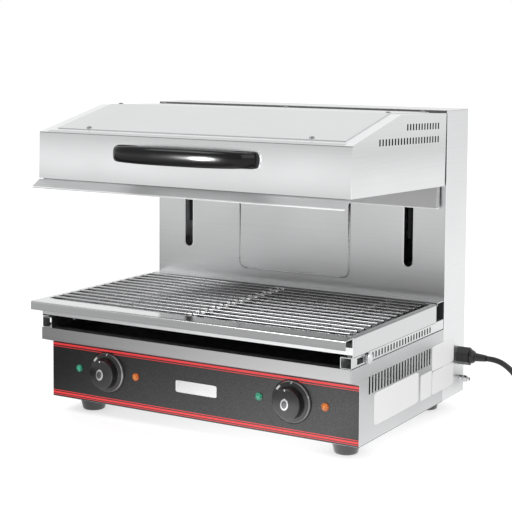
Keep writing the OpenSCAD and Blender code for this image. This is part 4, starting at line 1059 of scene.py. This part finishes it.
class Wardrobe:
    """Keeps one material for each finish and puts it on nodes and pieces."""

    def __init__(self) -> None:
        """Builds the shared groups."""
        self.effects = Effects()
        self.made: dict[Finish, bpy.types.Material] = {}

    def material(self, finish: Finish) -> bpy.types.Material:
        """Gives a finish's material, and builds it the first time."""
        if finish not in self.made:
            self.made[finish] = finish.make(self.effects)
        return self.made[finish]

    def wear(self, thing: bpy.types.Object, finish: Finish) -> None:
        """Puts a finish on all of an object's slots."""
        material = self.material(finish)
        if not thing.material_slots:
            thing.data.materials.append(material)
        for slot in thing.material_slots:
            slot.material = material

    def dress_nodes(self) -> None:
        """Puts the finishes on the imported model's nodes."""
        for finish, names in NODE_FINISHES.items():
            for name in names:
                self.wear(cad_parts[name], finish)
            log.info("finish %s on %s", finish.name, ", ".join(names))
        left = set(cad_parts) - {name for names in NODE_FINISHES.values() for name in names}
        if left:
            raise ValueError(f"nodes with no finish: {sorted(left)}")


def report(piece: bpy.types.Object, body: str) -> None:
    """Logs a piece's size and the body that it rides on."""
    size = [round(MM_PER_M * value, 1) for value in piece.dimensions]
    log.info("piece %s on %s, %s mm", piece.name, body, size)


# ------------------------------------------------------------------------------------------------
# Pieces


@dataclass
class MainsCord:
    """The mains cord: from the strain relief down to the floor, and wound into a coil beside the housing."""

    diameter: float = 0.010
    rest_height: float = 0.0054
    layer_height: float = 0.0155
    coil_centre: tuple[float, float] = (0.474, 0.311)
    outer_turn: float = 0.0738
    pitch: float = 0.0103
    turns: float = 4.5
    points_per_turn: int = 40
    inward_until: float = 3.0
    outward_from: float = 3.25
    climb_from: float = 2.98
    climb_turns: float = 0.2
    points_around: int = 16
    plug_start: tuple[float, float, float] = (0.423, 0.373, 0.0184)
    exit: tuple[float, float, float] = (0.3398, 0.232, 0.095)

    def fall(self) -> np.ndarray:
        """Free stretch from the strain relief to the coil, as in the part's source.

        Returns:
            Its points, from millimetres out, millimetres back and the share of the drop that is left.
        """
        steps = np.array([
            [0, 0, 1], [15, 0, 0.989], [29, 0, 0.944], [42, 0, 0.855], [53, 1, 0.732], [62, 1, 0.598],
            [71, 2, 0.453], [80, 3, 0.319], [90, 4, 0.196], [101, 4, 0.096], [112, 5, 0.029], [124, 5, 0],
        ])
        x, y = self.exit[0] + steps[:, 0] / MM_PER_M, self.exit[1] + steps[:, 1] / MM_PER_M
        drop = self.exit[2] - self.rest_height
        return np.stack([x, y, self.rest_height + steps[:, 2] * drop], axis=1)

    def coil(self) -> np.ndarray:
        """Turns of the coil: radius falls by a pitch a turn, holds, and grows again on the second layer."""
        turn = np.linspace(0.0, self.turns, round(self.turns * self.points_per_turn) + 1)
        inner = self.outer_turn - self.inward_until * self.pitch
        radius = np.where(turn < self.inward_until, self.outer_turn - self.pitch * turn, inner)
        radius = np.where(turn > self.outward_from, inner + self.pitch * (turn - self.outward_from), radius)
        climb = np.clip((turn - self.climb_from) / self.climb_turns, 0, 1)
        height = self.rest_height + (self.layer_height - self.rest_height) * climb * climb * (3 - 2 * climb)
        angle = 2 * np.pi * turn - np.pi / 2
        x, y = self.coil_centre[0] + radius * np.cos(angle), self.coil_centre[1] + radius * np.sin(angle)
        return np.stack([x, y, height], axis=1)

    def build(self, wardrobe: Wardrobe) -> None:
        coil = self.coil()
        way_to_plug = np.array([[0.35, 0.2, 0.3], [0.7, 0.7, 0.8], [1.0, 1.0, 1.0]])
        tail = coil[-1] + (np.array(self.plug_start) - coil[-1]) * way_to_plug
        # Each end is drawn with a little of the coil, so that it runs into it, and that part is left out.
        first = flowing(np.vstack([self.fall(), coil[3:6]]), 3)[:-9]
        last = flowing(np.vstack([coil[-2:], tail]), 4)[4:]
        path = np.vstack([first, coil[4:-1], last])
        outline = superellipse(self.points_around, self.diameter / 2, self.diameter / 2, 2.0)
        section = np.broadcast_to(outline, (len(path), *outline.shape))
        piece = closed_form("mains_cord", along_path(path, section, (0, 0, 1)))
        wardrobe.wear(piece, CORD_SHEATH)
        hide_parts("power_cord", "cord_coil")
        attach(piece, "housing")
        length = float(np.linalg.norm(np.diff(path, axis=0), axis=1).sum())
        log.info("cord length %.3f m", length)
        report(piece, "housing")


@dataclass
class HoodHandle:
    """The hood's bow handle: a flat oval bar on two long feet, drawn in the tilted hood's own frame."""

    half_length_mm: float = 136.5
    foot_length_mm: float = 47.0
    foot_thickness_mm: float = 5.2
    out_mm: float = 42.4
    height_mm: float = 28.0
    thickness_mm: float = 14.0
    hood_y_mm: float = 321.0
    hood_z_mm: float = 378.1
    hood_depth_mm: float = 357.4
    above_mm: float = 50.5
    tilt_deg: float = 1.6
    bar_power: float = 2.7
    foot_power: float = 5.0

    def on_hood(self, points_mm: np.ndarray) -> np.ndarray:
        """Brings points from the hood's front face, x right, y back, z up, to the part's frame.

        Args:
            points_mm: Grid of points in millimetres.

        Returns:
            The grid in metres.
        """
        moved = points_mm + np.array([0.0, -self.hood_depth_mm, self.above_mm])
        angle = math.radians(-self.tilt_deg)
        y = moved[..., 1] * math.cos(angle) - moved[..., 2] * math.sin(angle)
        z = moved[..., 1] * math.sin(angle) + moved[..., 2] * math.cos(angle)
        return placed(np.stack([moved[..., 0], y + self.hood_y_mm, z + self.hood_z_mm], axis=-1))

    def bow(self) -> np.ndarray:
        """Bar along a smooth bow: steep next to the feet, flat over the middle third.

        Its section is an oval whose height falls towards the feet: 1.04 - 0.2 * |x / span|^3.

        Returns:
            The bar's grid in millimetres, one section to a row.
        """
        reach = self.out_mm - self.thickness_mm / 2
        steps = np.array([
            [0.95, 0.1], [0.908, 0.38], [0.85, 0.66], [0.75, 0.81],
            [0.56, 0.92], [0.36, 0.985], [0.16, 1.0],
        ])
        half = np.pad(steps * [-self.half_length_mm, -reach], ((0, 0), (0, 1)))
        path = flowing(np.vstack([half, half[::-1] * [-1, 1, 1]]), 8)
        outline = superellipse(28, self.thickness_mm / 2, self.height_mm / 2, self.bar_power)
        tall = 1.04 - 0.2 * np.abs(path[:, 0] / self.half_length_mm) ** 3
        sections = outline * np.stack([np.ones_like(tall), tall], axis=1)[:, None, :]
        return along_path(path, sections, (0, 0, 1))

    def foot(self, side: int) -> np.ndarray:
        """Foot: a rounded pad whose outline shrinks over its edge, from the hood's face outwards."""
        half_length = self.foot_length_mm / 2
        outline = superellipse(44, half_length, self.height_mm / 2, self.foot_power)
        rows = np.array([[0.0, 0.04], [0.0, 0.7], [0.4, 0.88], [1.3, 1.0], [3.0, 1.0]])
        shrink = 1 - rows[:, :1] / half_length
        x = side * (self.half_length_mm - half_length) + shrink * outline[:, 0]
        z = (1 - rows[:, :1] * 2 / self.height_mm) * outline[:, 1]
        y = np.broadcast_to(-rows[:, 1:] * self.foot_thickness_mm, x.shape)
        return np.stack([x, y, z], axis=-1)

    def build(self, wardrobe: Wardrobe) -> list[bpy.types.Object]:
        """Makes the bar and its feet in place of the plain handle, and returns them."""
        parts = [closed_form("handle_bow", self.on_hood(self.bow()))]
        for name, side in (("left", -1), ("right", 1)):
            parts.append(closed_form(f"handle_foot_{name}", self.on_hood(self.foot(side))))
        for part in parts:
            wardrobe.wear(part, GLOSS_BLACK)
            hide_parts("hood_handle")
            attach(part, "hood")
            report(part, "hood")
        return parts


@dataclass
class FieldCrease:
    """The rounded crease round the column panel's pressed field: down one side, across and up again."""

    half_width_mm: float = 114.4
    low_mm: float = 200.4
    high_mm: float = 436.0
    corner_mm: float = 14.0
    face_mm: float = 325.2
    section_mm: tuple[float, float] = (1.7, 1.1)
    section_points: int = 12
    corner_points: int = 12

    def build(self, wardrobe: Wardrobe) -> None:
        """Makes the crease. Its corners are quarter circles in the panel's plane."""
        turn = np.linspace(np.pi, 1.5 * np.pi, self.corner_points)
        corner_x = self.corner_mm - self.half_width_mm + self.corner_mm * np.cos(turn)
        corner_z = self.low_mm + self.corner_mm + self.corner_mm * np.sin(turn)
        left_x = np.append(-self.half_width_mm, corner_x)
        left_z = np.append(self.high_mm, corner_z)
        left = np.stack([left_x, left_z], axis=1)
        outline = np.vstack([left, left[::-1] * [-1, 1]])
        path = np.stack([outline[:, 0], np.full(len(outline), self.face_mm), outline[:, 1]], axis=1)
        section = superellipse(self.section_points, *self.section_mm, 2.0)
        section = np.broadcast_to(section, (len(path), *section.shape))
        piece = closed_form("field_crease", placed(along_path(path, section, (0, -1, 0))))
        # The crease's darker steel is painted shade, and its lighter bottom run a painted highlight.
        wardrobe.wear(piece, STEEL_CREASE)
        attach(piece, "housing")
        report(piece, "housing")


@dataclass
class TurnedFeet:
    """The four rubber feet: cups round their studs that narrow to the floor, with a round lower edge."""

    out_mm: tuple[float, float] = (251.0, 53.0)
    depth_mm: float = 421.0
    points_around: int = 64
    profile_mm: tuple[tuple[float, float], ...] = (
        (21.0, 0.0), (25.2, -0.2), (26.0, -1.0), (26.0, -3.2), (25.0, -5.0), (22.6, -14.0),
        (20.6, -22.0), (20.0, -25.0), (19.2, -27.0), (17.6, -27.9), (12.0, -27.95),
    )

    def build(self, wardrobe: Wardrobe) -> None:
        """Makes each foot from rings of points: (r cos a, r sin a, z)."""
        turn = np.linspace(0.0, 2.0 * np.pi, self.points_around, endpoint=False)
        radius, height = (np.array(column)[:, None] for column in zip(*self.profile_mm))
        ring = np.stack([radius * np.cos(turn), radius * np.sin(turn), height + 0.0 * turn], axis=-1)
        x, near = self.out_mm
        for row, y in (("front", near), ("back", self.depth_mm - near)):
            for side, sign in (("left", -1), ("right", 1)):
                foot = closed_form(f"foot_{row}_{side}", placed(ring + np.array([sign * x, y, 0.0])))
                wardrobe.wear(foot, RUBBER)
                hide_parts("rubber_feet")
                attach(foot, "housing")
                report(foot, "housing")


@dataclass
class KnobMarks:
    """Printed marks and the bare silver oval of one knob, drawn round its axis."""

    side: str
    body: str
    x_mm: float
    z_mm: float = 56.0
    skirt_y_mm: float = -4.2
    cap_y_mm: float = -20.0
    print_mm: float = 0.12
    oval_mm: tuple[float, float] = (7.2, 9.6)
    oval_off_mm: tuple[float, float] = (-2.8, -1.0)
    oval_turn_deg: float = -9.0

    def sector(
        self,
        radii_mm: tuple[float, float],
        angles: tuple[float, float],
        y_mm: float,
        slant: float = 0.0,
    ) -> np.ndarray:
        """Flat patch between two radii and two angles: x = r cos a, z = r sin a, proud of the face.

        Args:
            radii_mm: Inner and outer radius in millimetres.
            angles: First and last angle in degrees, counter-clockwise from the right.
            y_mm: Place of the printed face.
            slant: How far the outer edge leads the inner edge, in degrees.

        Returns:
            The patch's grid, four corners to a row.
        """
        angle = np.radians(np.linspace(angles[0], angles[1], 9))[:, None]
        inner, outer = radii_mm
        radius = np.array([[inner, outer, outer, inner]])
        lead = np.radians(slant) * np.array([[0.0, 1.0, 1.0, 0.0]])
        proud = np.array([[0.0, 0.0, -self.print_mm, -self.print_mm]])
        x = self.x_mm + radius * np.cos(angle + lead)
        z = self.z_mm + radius * np.sin(angle + lead)
        return placed(np.stack([x, y_mm + proud + np.zeros_like(x), z], axis=-1))

    def inlay(self, scale: float, lift_mm: float) -> np.ndarray:
        """Oval: a slightly domed disc, turned a little clockwise.

        Args:
            scale: Its size as a share of the whole oval.
            lift_mm: How far its back lies in front of the cap.

        Returns:
            The disc's grid, one ring to a row.
        """
        outline = scale * superellipse(48, *self.oval_mm, 2.0)
        turn = math.radians(self.oval_turn_deg)
        x = outline[:, 0] * math.cos(turn) - outline[:, 1] * math.sin(turn)
        z = outline[:, 0] * math.sin(turn) + outline[:, 1] * math.cos(turn)
        share = np.array([1.0, 1.0, 0.9, 0.7, 0.45, 0.2])[:, None]
        proud = np.array([0.0, 0.25, 0.45, 0.6, 0.7, 0.75])[:, None]
        right, up = self.oval_off_mm
        middle = np.array([self.x_mm + right, self.cap_y_mm - lift_mm, self.z_mm + up])
        grid = np.stack([share * x, -proud + np.zeros_like(share * x), share * z], axis=-1)
        return placed(grid + middle)

    def build(self, wardrobe: Wardrobe) -> None:
        """Makes the two marks on the skirt, the pointer on the cap and the oval."""
        skirt, cap = self.skirt_y_mm, self.cap_y_mm
        shapes = {
            "mark_low": (self.sector((29.3, 32.6), (129.0, 146.0), skirt), WHITE_PRINT),
            "mark_high": (self.sector((29.4, 33.6), (88.5, 91.5), skirt, slant=-4.0), WHITE_PRINT),
            "pointer": (self.sector((20.4, 23.4), (94.0, 99.0), cap), WHITE_PRINT),
            "inlay": (self.inlay(1.0, 0.0), INLAY_SILVER),
            "inlay_field": (self.inlay(0.66, 0.52), INLAY_FIELD),
        }
        for name, (grid, finish) in shapes.items():
            metal = name.startswith("inlay")
            piece = closed_form(f"knob_{self.side}_{name}", grid, smooth=metal)
            wardrobe.wear(piece, finish)
            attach(piece, self.body)
            report(piece, self.body)


class Facing(Enum):
    """Side of the housing that a plate is stuck on, and the way it faces."""

    FRONT = "-Y"
    RIGHT = "+X"


@dataclass
class BarePlates:
    """The badge on the film and the labels on the right side, all left bare."""

    thickness_mm: float = 0.3
    side_mm: float = 300.0
    corner_power: float = 14.0
    edge_points: int = 88

    def plate(
        self,
        name: str,
        middle_mm: Sequence[float],
        half_mm: tuple[float, float],
        facing: Facing,
        depth_mm: float,
        border_mm: float = 0.0,
    ) -> bpy.types.Object:
        """A thin rounded plate: rings that shrink over its edge, with a fine raised border.

        Args:
            name: Name of the piece.
            middle_mm: Middle of its back, in the housing's coordinates.
            half_mm: Half width and half height.
            facing: Side of the housing that it is stuck on.
            depth_mm: Its thickness.
            border_mm: Width of the raised border, or 0 for none.

        Returns:
            The new object.
        """
        rings_mm = [(0.0, 0.0), (0.0, depth_mm * 0.8), (0.15, depth_mm)]
        if border_mm:
            rings_mm += [(border_mm, depth_mm), (border_mm + 0.2, depth_mm * 0.65)]
        width, height = half_mm
        grid = []
        for inset, out in rings_mm:
            outline = superellipse(self.edge_points, width - inset, height - inset, self.corner_power)
            across, up = outline.T
            flat = np.full(len(outline), out)
            local = (across, -flat, up) if facing is Facing.FRONT else (flat, across, up)
            grid.append(np.stack(local, axis=1) + np.asarray(middle_mm))
        return closed_form(name, placed(np.array(grid)), smooth=False)

    def build(self, wardrobe: Wardrobe) -> None:
        """Makes the badge and the four labels."""
        badge = self.plate(
            "bare_badge", (0.5, -0.42, 52.0), (40.2, 10.0), Facing.FRONT, depth_mm=0.9, border_mm=1.1
        )
        wardrobe.wear(badge, BADGE_SILVER)
        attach(badge, "housing")
        report(badge, "housing")
        places = {
            "label_long": ((51.0, 222.0), (22.0, 74.0)),
            "label_mid": ((230.0, 277.0), (21.0, 65.0)),
            "label_high": ((277.5, 373.0), (62.5, 105.0)),
            "label_low": ((279.0, 373.0), (21.0, 61.0)),
        }
        for name, ((y0, y1), (z0, z1)) in places.items():
            middle = (self.side_mm, (y0 + y1) / 2, (z0 + z1) / 2)
            half = ((y1 - y0) / 2, (z1 - z0) / 2)
            label = self.plate(name, middle, half, Facing.RIGHT, depth_mm=self.thickness_mm)
            wardrobe.wear(label, LABEL_WHITE)
            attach(label, "housing")
            report(label, "housing")


# ------------------------------------------------------------------------------------------------
# Room


@dataclass
class Room:
    """Camera, floor, lamps and the bright surroundings."""

    place: tuple[float, float, float] = (1.19828, -2.01992, 0.6441)
    yaw: float = 30.7037
    pitch: float = -4.5198
    roll: float = 0.3747
    focal_px: float = 1361.54
    frame_px: float = 512.0
    shift: tuple[float, float] = (0.00064, -0.2)
    floor_glow: float = 0.55
    surround: float = 0.9
    back_wall: float = 0.97
    aim: tuple[float, float, float] = (0.0, 0.0, 0.25)
    floor_half: float = 12.0
    floor_reach: float = 16.0
    floor_ahead: tuple[tuple[float, float], ...] = (
        (0.9, 0.45), (1.3, 0.58), (1.8, 0.78), (2.4, 0.64),
        (3.0, 0.85), (4.2, 1.26), (8.5, 1.3), (12.0, 1.15),
    )

    def mirrored_floor(self, bench: Bench, place: bpy.types.NodeSocket) -> bpy.types.NodeSocket:
        """Brightness of the floor in mirrors.

        In front it follows bands of distance, and close by it is dim at the left and bright at the right.
        Beside and behind the object it is full, and falls off far away.

        Args:
            bench: The floor's node tree.
            place: The shaded point.

        Returns:
            The brightness.
        """
        x, y, _ = bench.axes(place)
        ramp = bench.add("ShaderNodeValToRGB")
        bench.feed(ramp.inputs[0], bench.sum("DIVIDE", y, -self.floor_reach))
        stops = ramp.color_ramp.elements
        stops.remove(stops[1])
        for distance, _ in self.floor_ahead[1:]:
            stops.new(distance / self.floor_reach)
        for stop, (distance, value) in zip(stops, self.floor_ahead):
            stop.position = distance / self.floor_reach
            stop.color = (value / 2, value / 2, value / 2, 1.0)
        away = bench.sum("MULTIPLY", ramp.outputs[0], 2.0)
        near = bench.spread(y, 0.0, 1.0, start=-0.86, end=-0.62)
        across = bench.spread(x, 0.04, 2.1, start=-0.52, end=0.12)
        ahead = bench.sum("MULTIPLY_ADD", near, bench.sum("SUBTRACT", across, away), away)
        at_right = bench.spread(x, 0.0, 1.0, start=0.15, end=0.35)
        behind = bench.spread(y, 0.0, 1.0, start=-0.15, end=0.1)
        full = bench.sum("MAXIMUM", at_right, behind)
        far = bench.spread(y, 1.1, 0.72, start=3.0, end=8.0)
        return bench.sum("MULTIPLY_ADD", full, bench.sum("SUBTRACT", far, ahead), ahead)

    def camera(self) -> None:
        """Sets the camera by its yaw, pitch and roll."""
        data = bpy.data.cameras.new("camera")
        data.sensor_width = SENSOR_MM
        data.lens = self.focal_px * SENSOR_MM / self.frame_px
        data.shift_x, data.shift_y = self.shift
        data.clip_end = 200.0
        thing = new_object("camera", data)
        yaw, pitch, roll = (math.radians(a) for a in (self.yaw, self.pitch, self.roll))
        level = math.cos(pitch)
        ahead = Vector((-math.sin(yaw) * level, math.cos(yaw) * level, math.sin(pitch)))
        right = Vector((math.cos(yaw), math.sin(yaw), 0.0))
        up = right.cross(ahead)
        rolled_right = right * math.cos(roll) + up * math.sin(roll)
        rolled_up = up * math.cos(roll) - right * math.sin(roll)
        turn = Matrix((rolled_right, rolled_up, -ahead)).transposed()
        thing.matrix_world = Matrix.Translation(self.place) @ turn.to_4x4()
        bpy.context.scene.camera = thing

    def floor(self) -> None:
        """Lays a wide pale floor that glows for the camera and for mirrors, and keeps the shadow."""
        mesh = bpy.data.meshes.new("floor")
        corners = np.array([[-1, -1, 0], [1, -1, 0], [1, 1, 0], [-1, 1, 0]]) * self.floor_half
        mesh.from_pydata(corners.tolist(), [], [(0, 1, 2, 3)])
        thing = new_object("floor", mesh)
        material = bpy.data.materials.new("pale_floor")
        material.use_nodes = True
        bench = Bench(material.node_tree)
        shader = material.node_tree.nodes["Principled BSDF"]
        place = bench.add("ShaderNodeTexCoord").outputs["Object"]
        mottle = bench.noise(place, scale=3.0)
        path = bench.add("ShaderNodeLightPath")
        glow = bench.sum("MULTIPLY", path.outputs["Is Camera Ray"], self.floor_glow)
        sources = {
            "Base Color": bench.blend(mottle, rgba(WHITE, 0.6), rgba(WHITE, 0.62)),
            "Roughness": 0.9,
            "Specular IOR Level": 0.1,
            "Emission Color": rgba(WHITE),
            "Emission Strength": glow,
        }
        for label, source in sources.items():
            bench.feed(shader.inputs[label], source)
        mirror = bench.add("ShaderNodeEmission")
        bench.feed(mirror.inputs["Strength"], self.mirrored_floor(bench, place))
        mix = bench.add("ShaderNodeMixShader")
        bench.feed(mix.inputs[0], path.outputs["Is Glossy Ray"])
        bench.feed(mix.inputs[1], shader.outputs[0])
        bench.feed(mix.inputs[2], mirror.outputs[0])
        bench.feed(material.node_tree.nodes["Material Output"].inputs["Surface"], mix.outputs[0])
        mesh.materials.append(material)

    def surroundings(self) -> None:
        """Makes the world white for the camera, softly graded for mirrors, and plain for its light."""
        world = bpy.data.worlds.new("bright_room")
        world.use_nodes = True
        bpy.context.scene.world = world
        bench = Bench(world.node_tree)
        ground = world.node_tree.nodes["Background"]
        direction = bench.add("ShaderNodeTexCoord").outputs["Generated"]
        _, y, z = bench.axes(direction)
        front = bench.spread(z, 1.1, 0.52, start=0.0, end=0.07)
        behind = bench.spread(y, 0.0, 1.0, start=-0.5, end=0.3)
        to_back = bench.sum("SUBTRACT", self.back_wall, front)
        graded = bench.sum("MULTIPLY_ADD", behind, to_back, front)
        path = bench.add("ShaderNodeLightPath")
        glossy, through = path.outputs["Is Glossy Ray"], path.outputs["Is Transmission Ray"]
        mirror = bench.sum("ADD", glossy, through, clamp=True)
        light = bench.sum("MULTIPLY", bench.sum("SUBTRACT", 1.0, mirror), self.surround)
        seen = bench.sum("ADD", light, bench.sum("MULTIPLY", mirror, graded))
        whole = bench.sum("MAXIMUM", seen, path.outputs["Is Camera Ray"])
        bench.feed(ground.inputs["Color"], rgba(WHITE))
        bench.feed(ground.inputs["Strength"], whole)

    def lamp(
        self, name: str, place: Sequence[float], size: float, power: float
    ) -> bpy.types.Object:
        """Hangs a square soft lamp that points at the middle of the object."""
        data = bpy.data.lights.new(name, "AREA")
        data.size = size
        data.energy = power
        thing = new_object(name, data)
        ahead = Vector(self.aim) - Vector(place)
        thing.rotation_euler = ahead.to_track_quat("-Z", "Y").to_euler()
        thing.location = place
        return thing

    def glint(self, pieces: Sequence[bpy.types.Object]) -> None:
        """Hangs a small oval lamp in front that only lights the given pieces."""
        lit = bpy.data.collections.new("glint_receivers")
        for piece in pieces:
            lit.objects.link(piece)
        lamp = self.lamp("oval_glint", place=(-0.98, -2.4, 0.43), size=0.56, power=80.0)
        lamp.data.shape = "ELLIPSE"
        lamp.data.size_y = 0.3
        lamp.light_linking.receiver_collection = lit

    def build(self) -> None:
        """Sets up the whole room."""
        self.camera()
        self.floor()
        self.surroundings()
        self.lamp("soft_key", place=(-1.3, -1.9, 2.3), size=1.1, power=18.0)
        self.lamp("soft_fill", place=(2.4, -0.6, 1.6), size=1.8, power=16.0)
        bpy.context.scene.view_settings.view_transform = "Standard"


def main() -> None:
    """Builds the room, the pieces and the finishes in order."""
    logging.basicConfig(level=logging.INFO, format="%(message)s")
    wardrobe = Wardrobe()
    room = Room()
    room.build()
    MainsCord().build(wardrobe)
    wardrobe.dress_nodes()
    room.glint(HoodHandle().build(wardrobe))
    for side, body, x in (("left", "knob_l", -181.0), ("right", "knob_r", 181.0)):
        KnobMarks(side, body, x).build(wardrobe)
    FieldCrease().build(wardrobe)
    TurnedFeet().build(wardrobe)
    BarePlates().build(wardrobe)


if __name__ == "__main__":
    main()
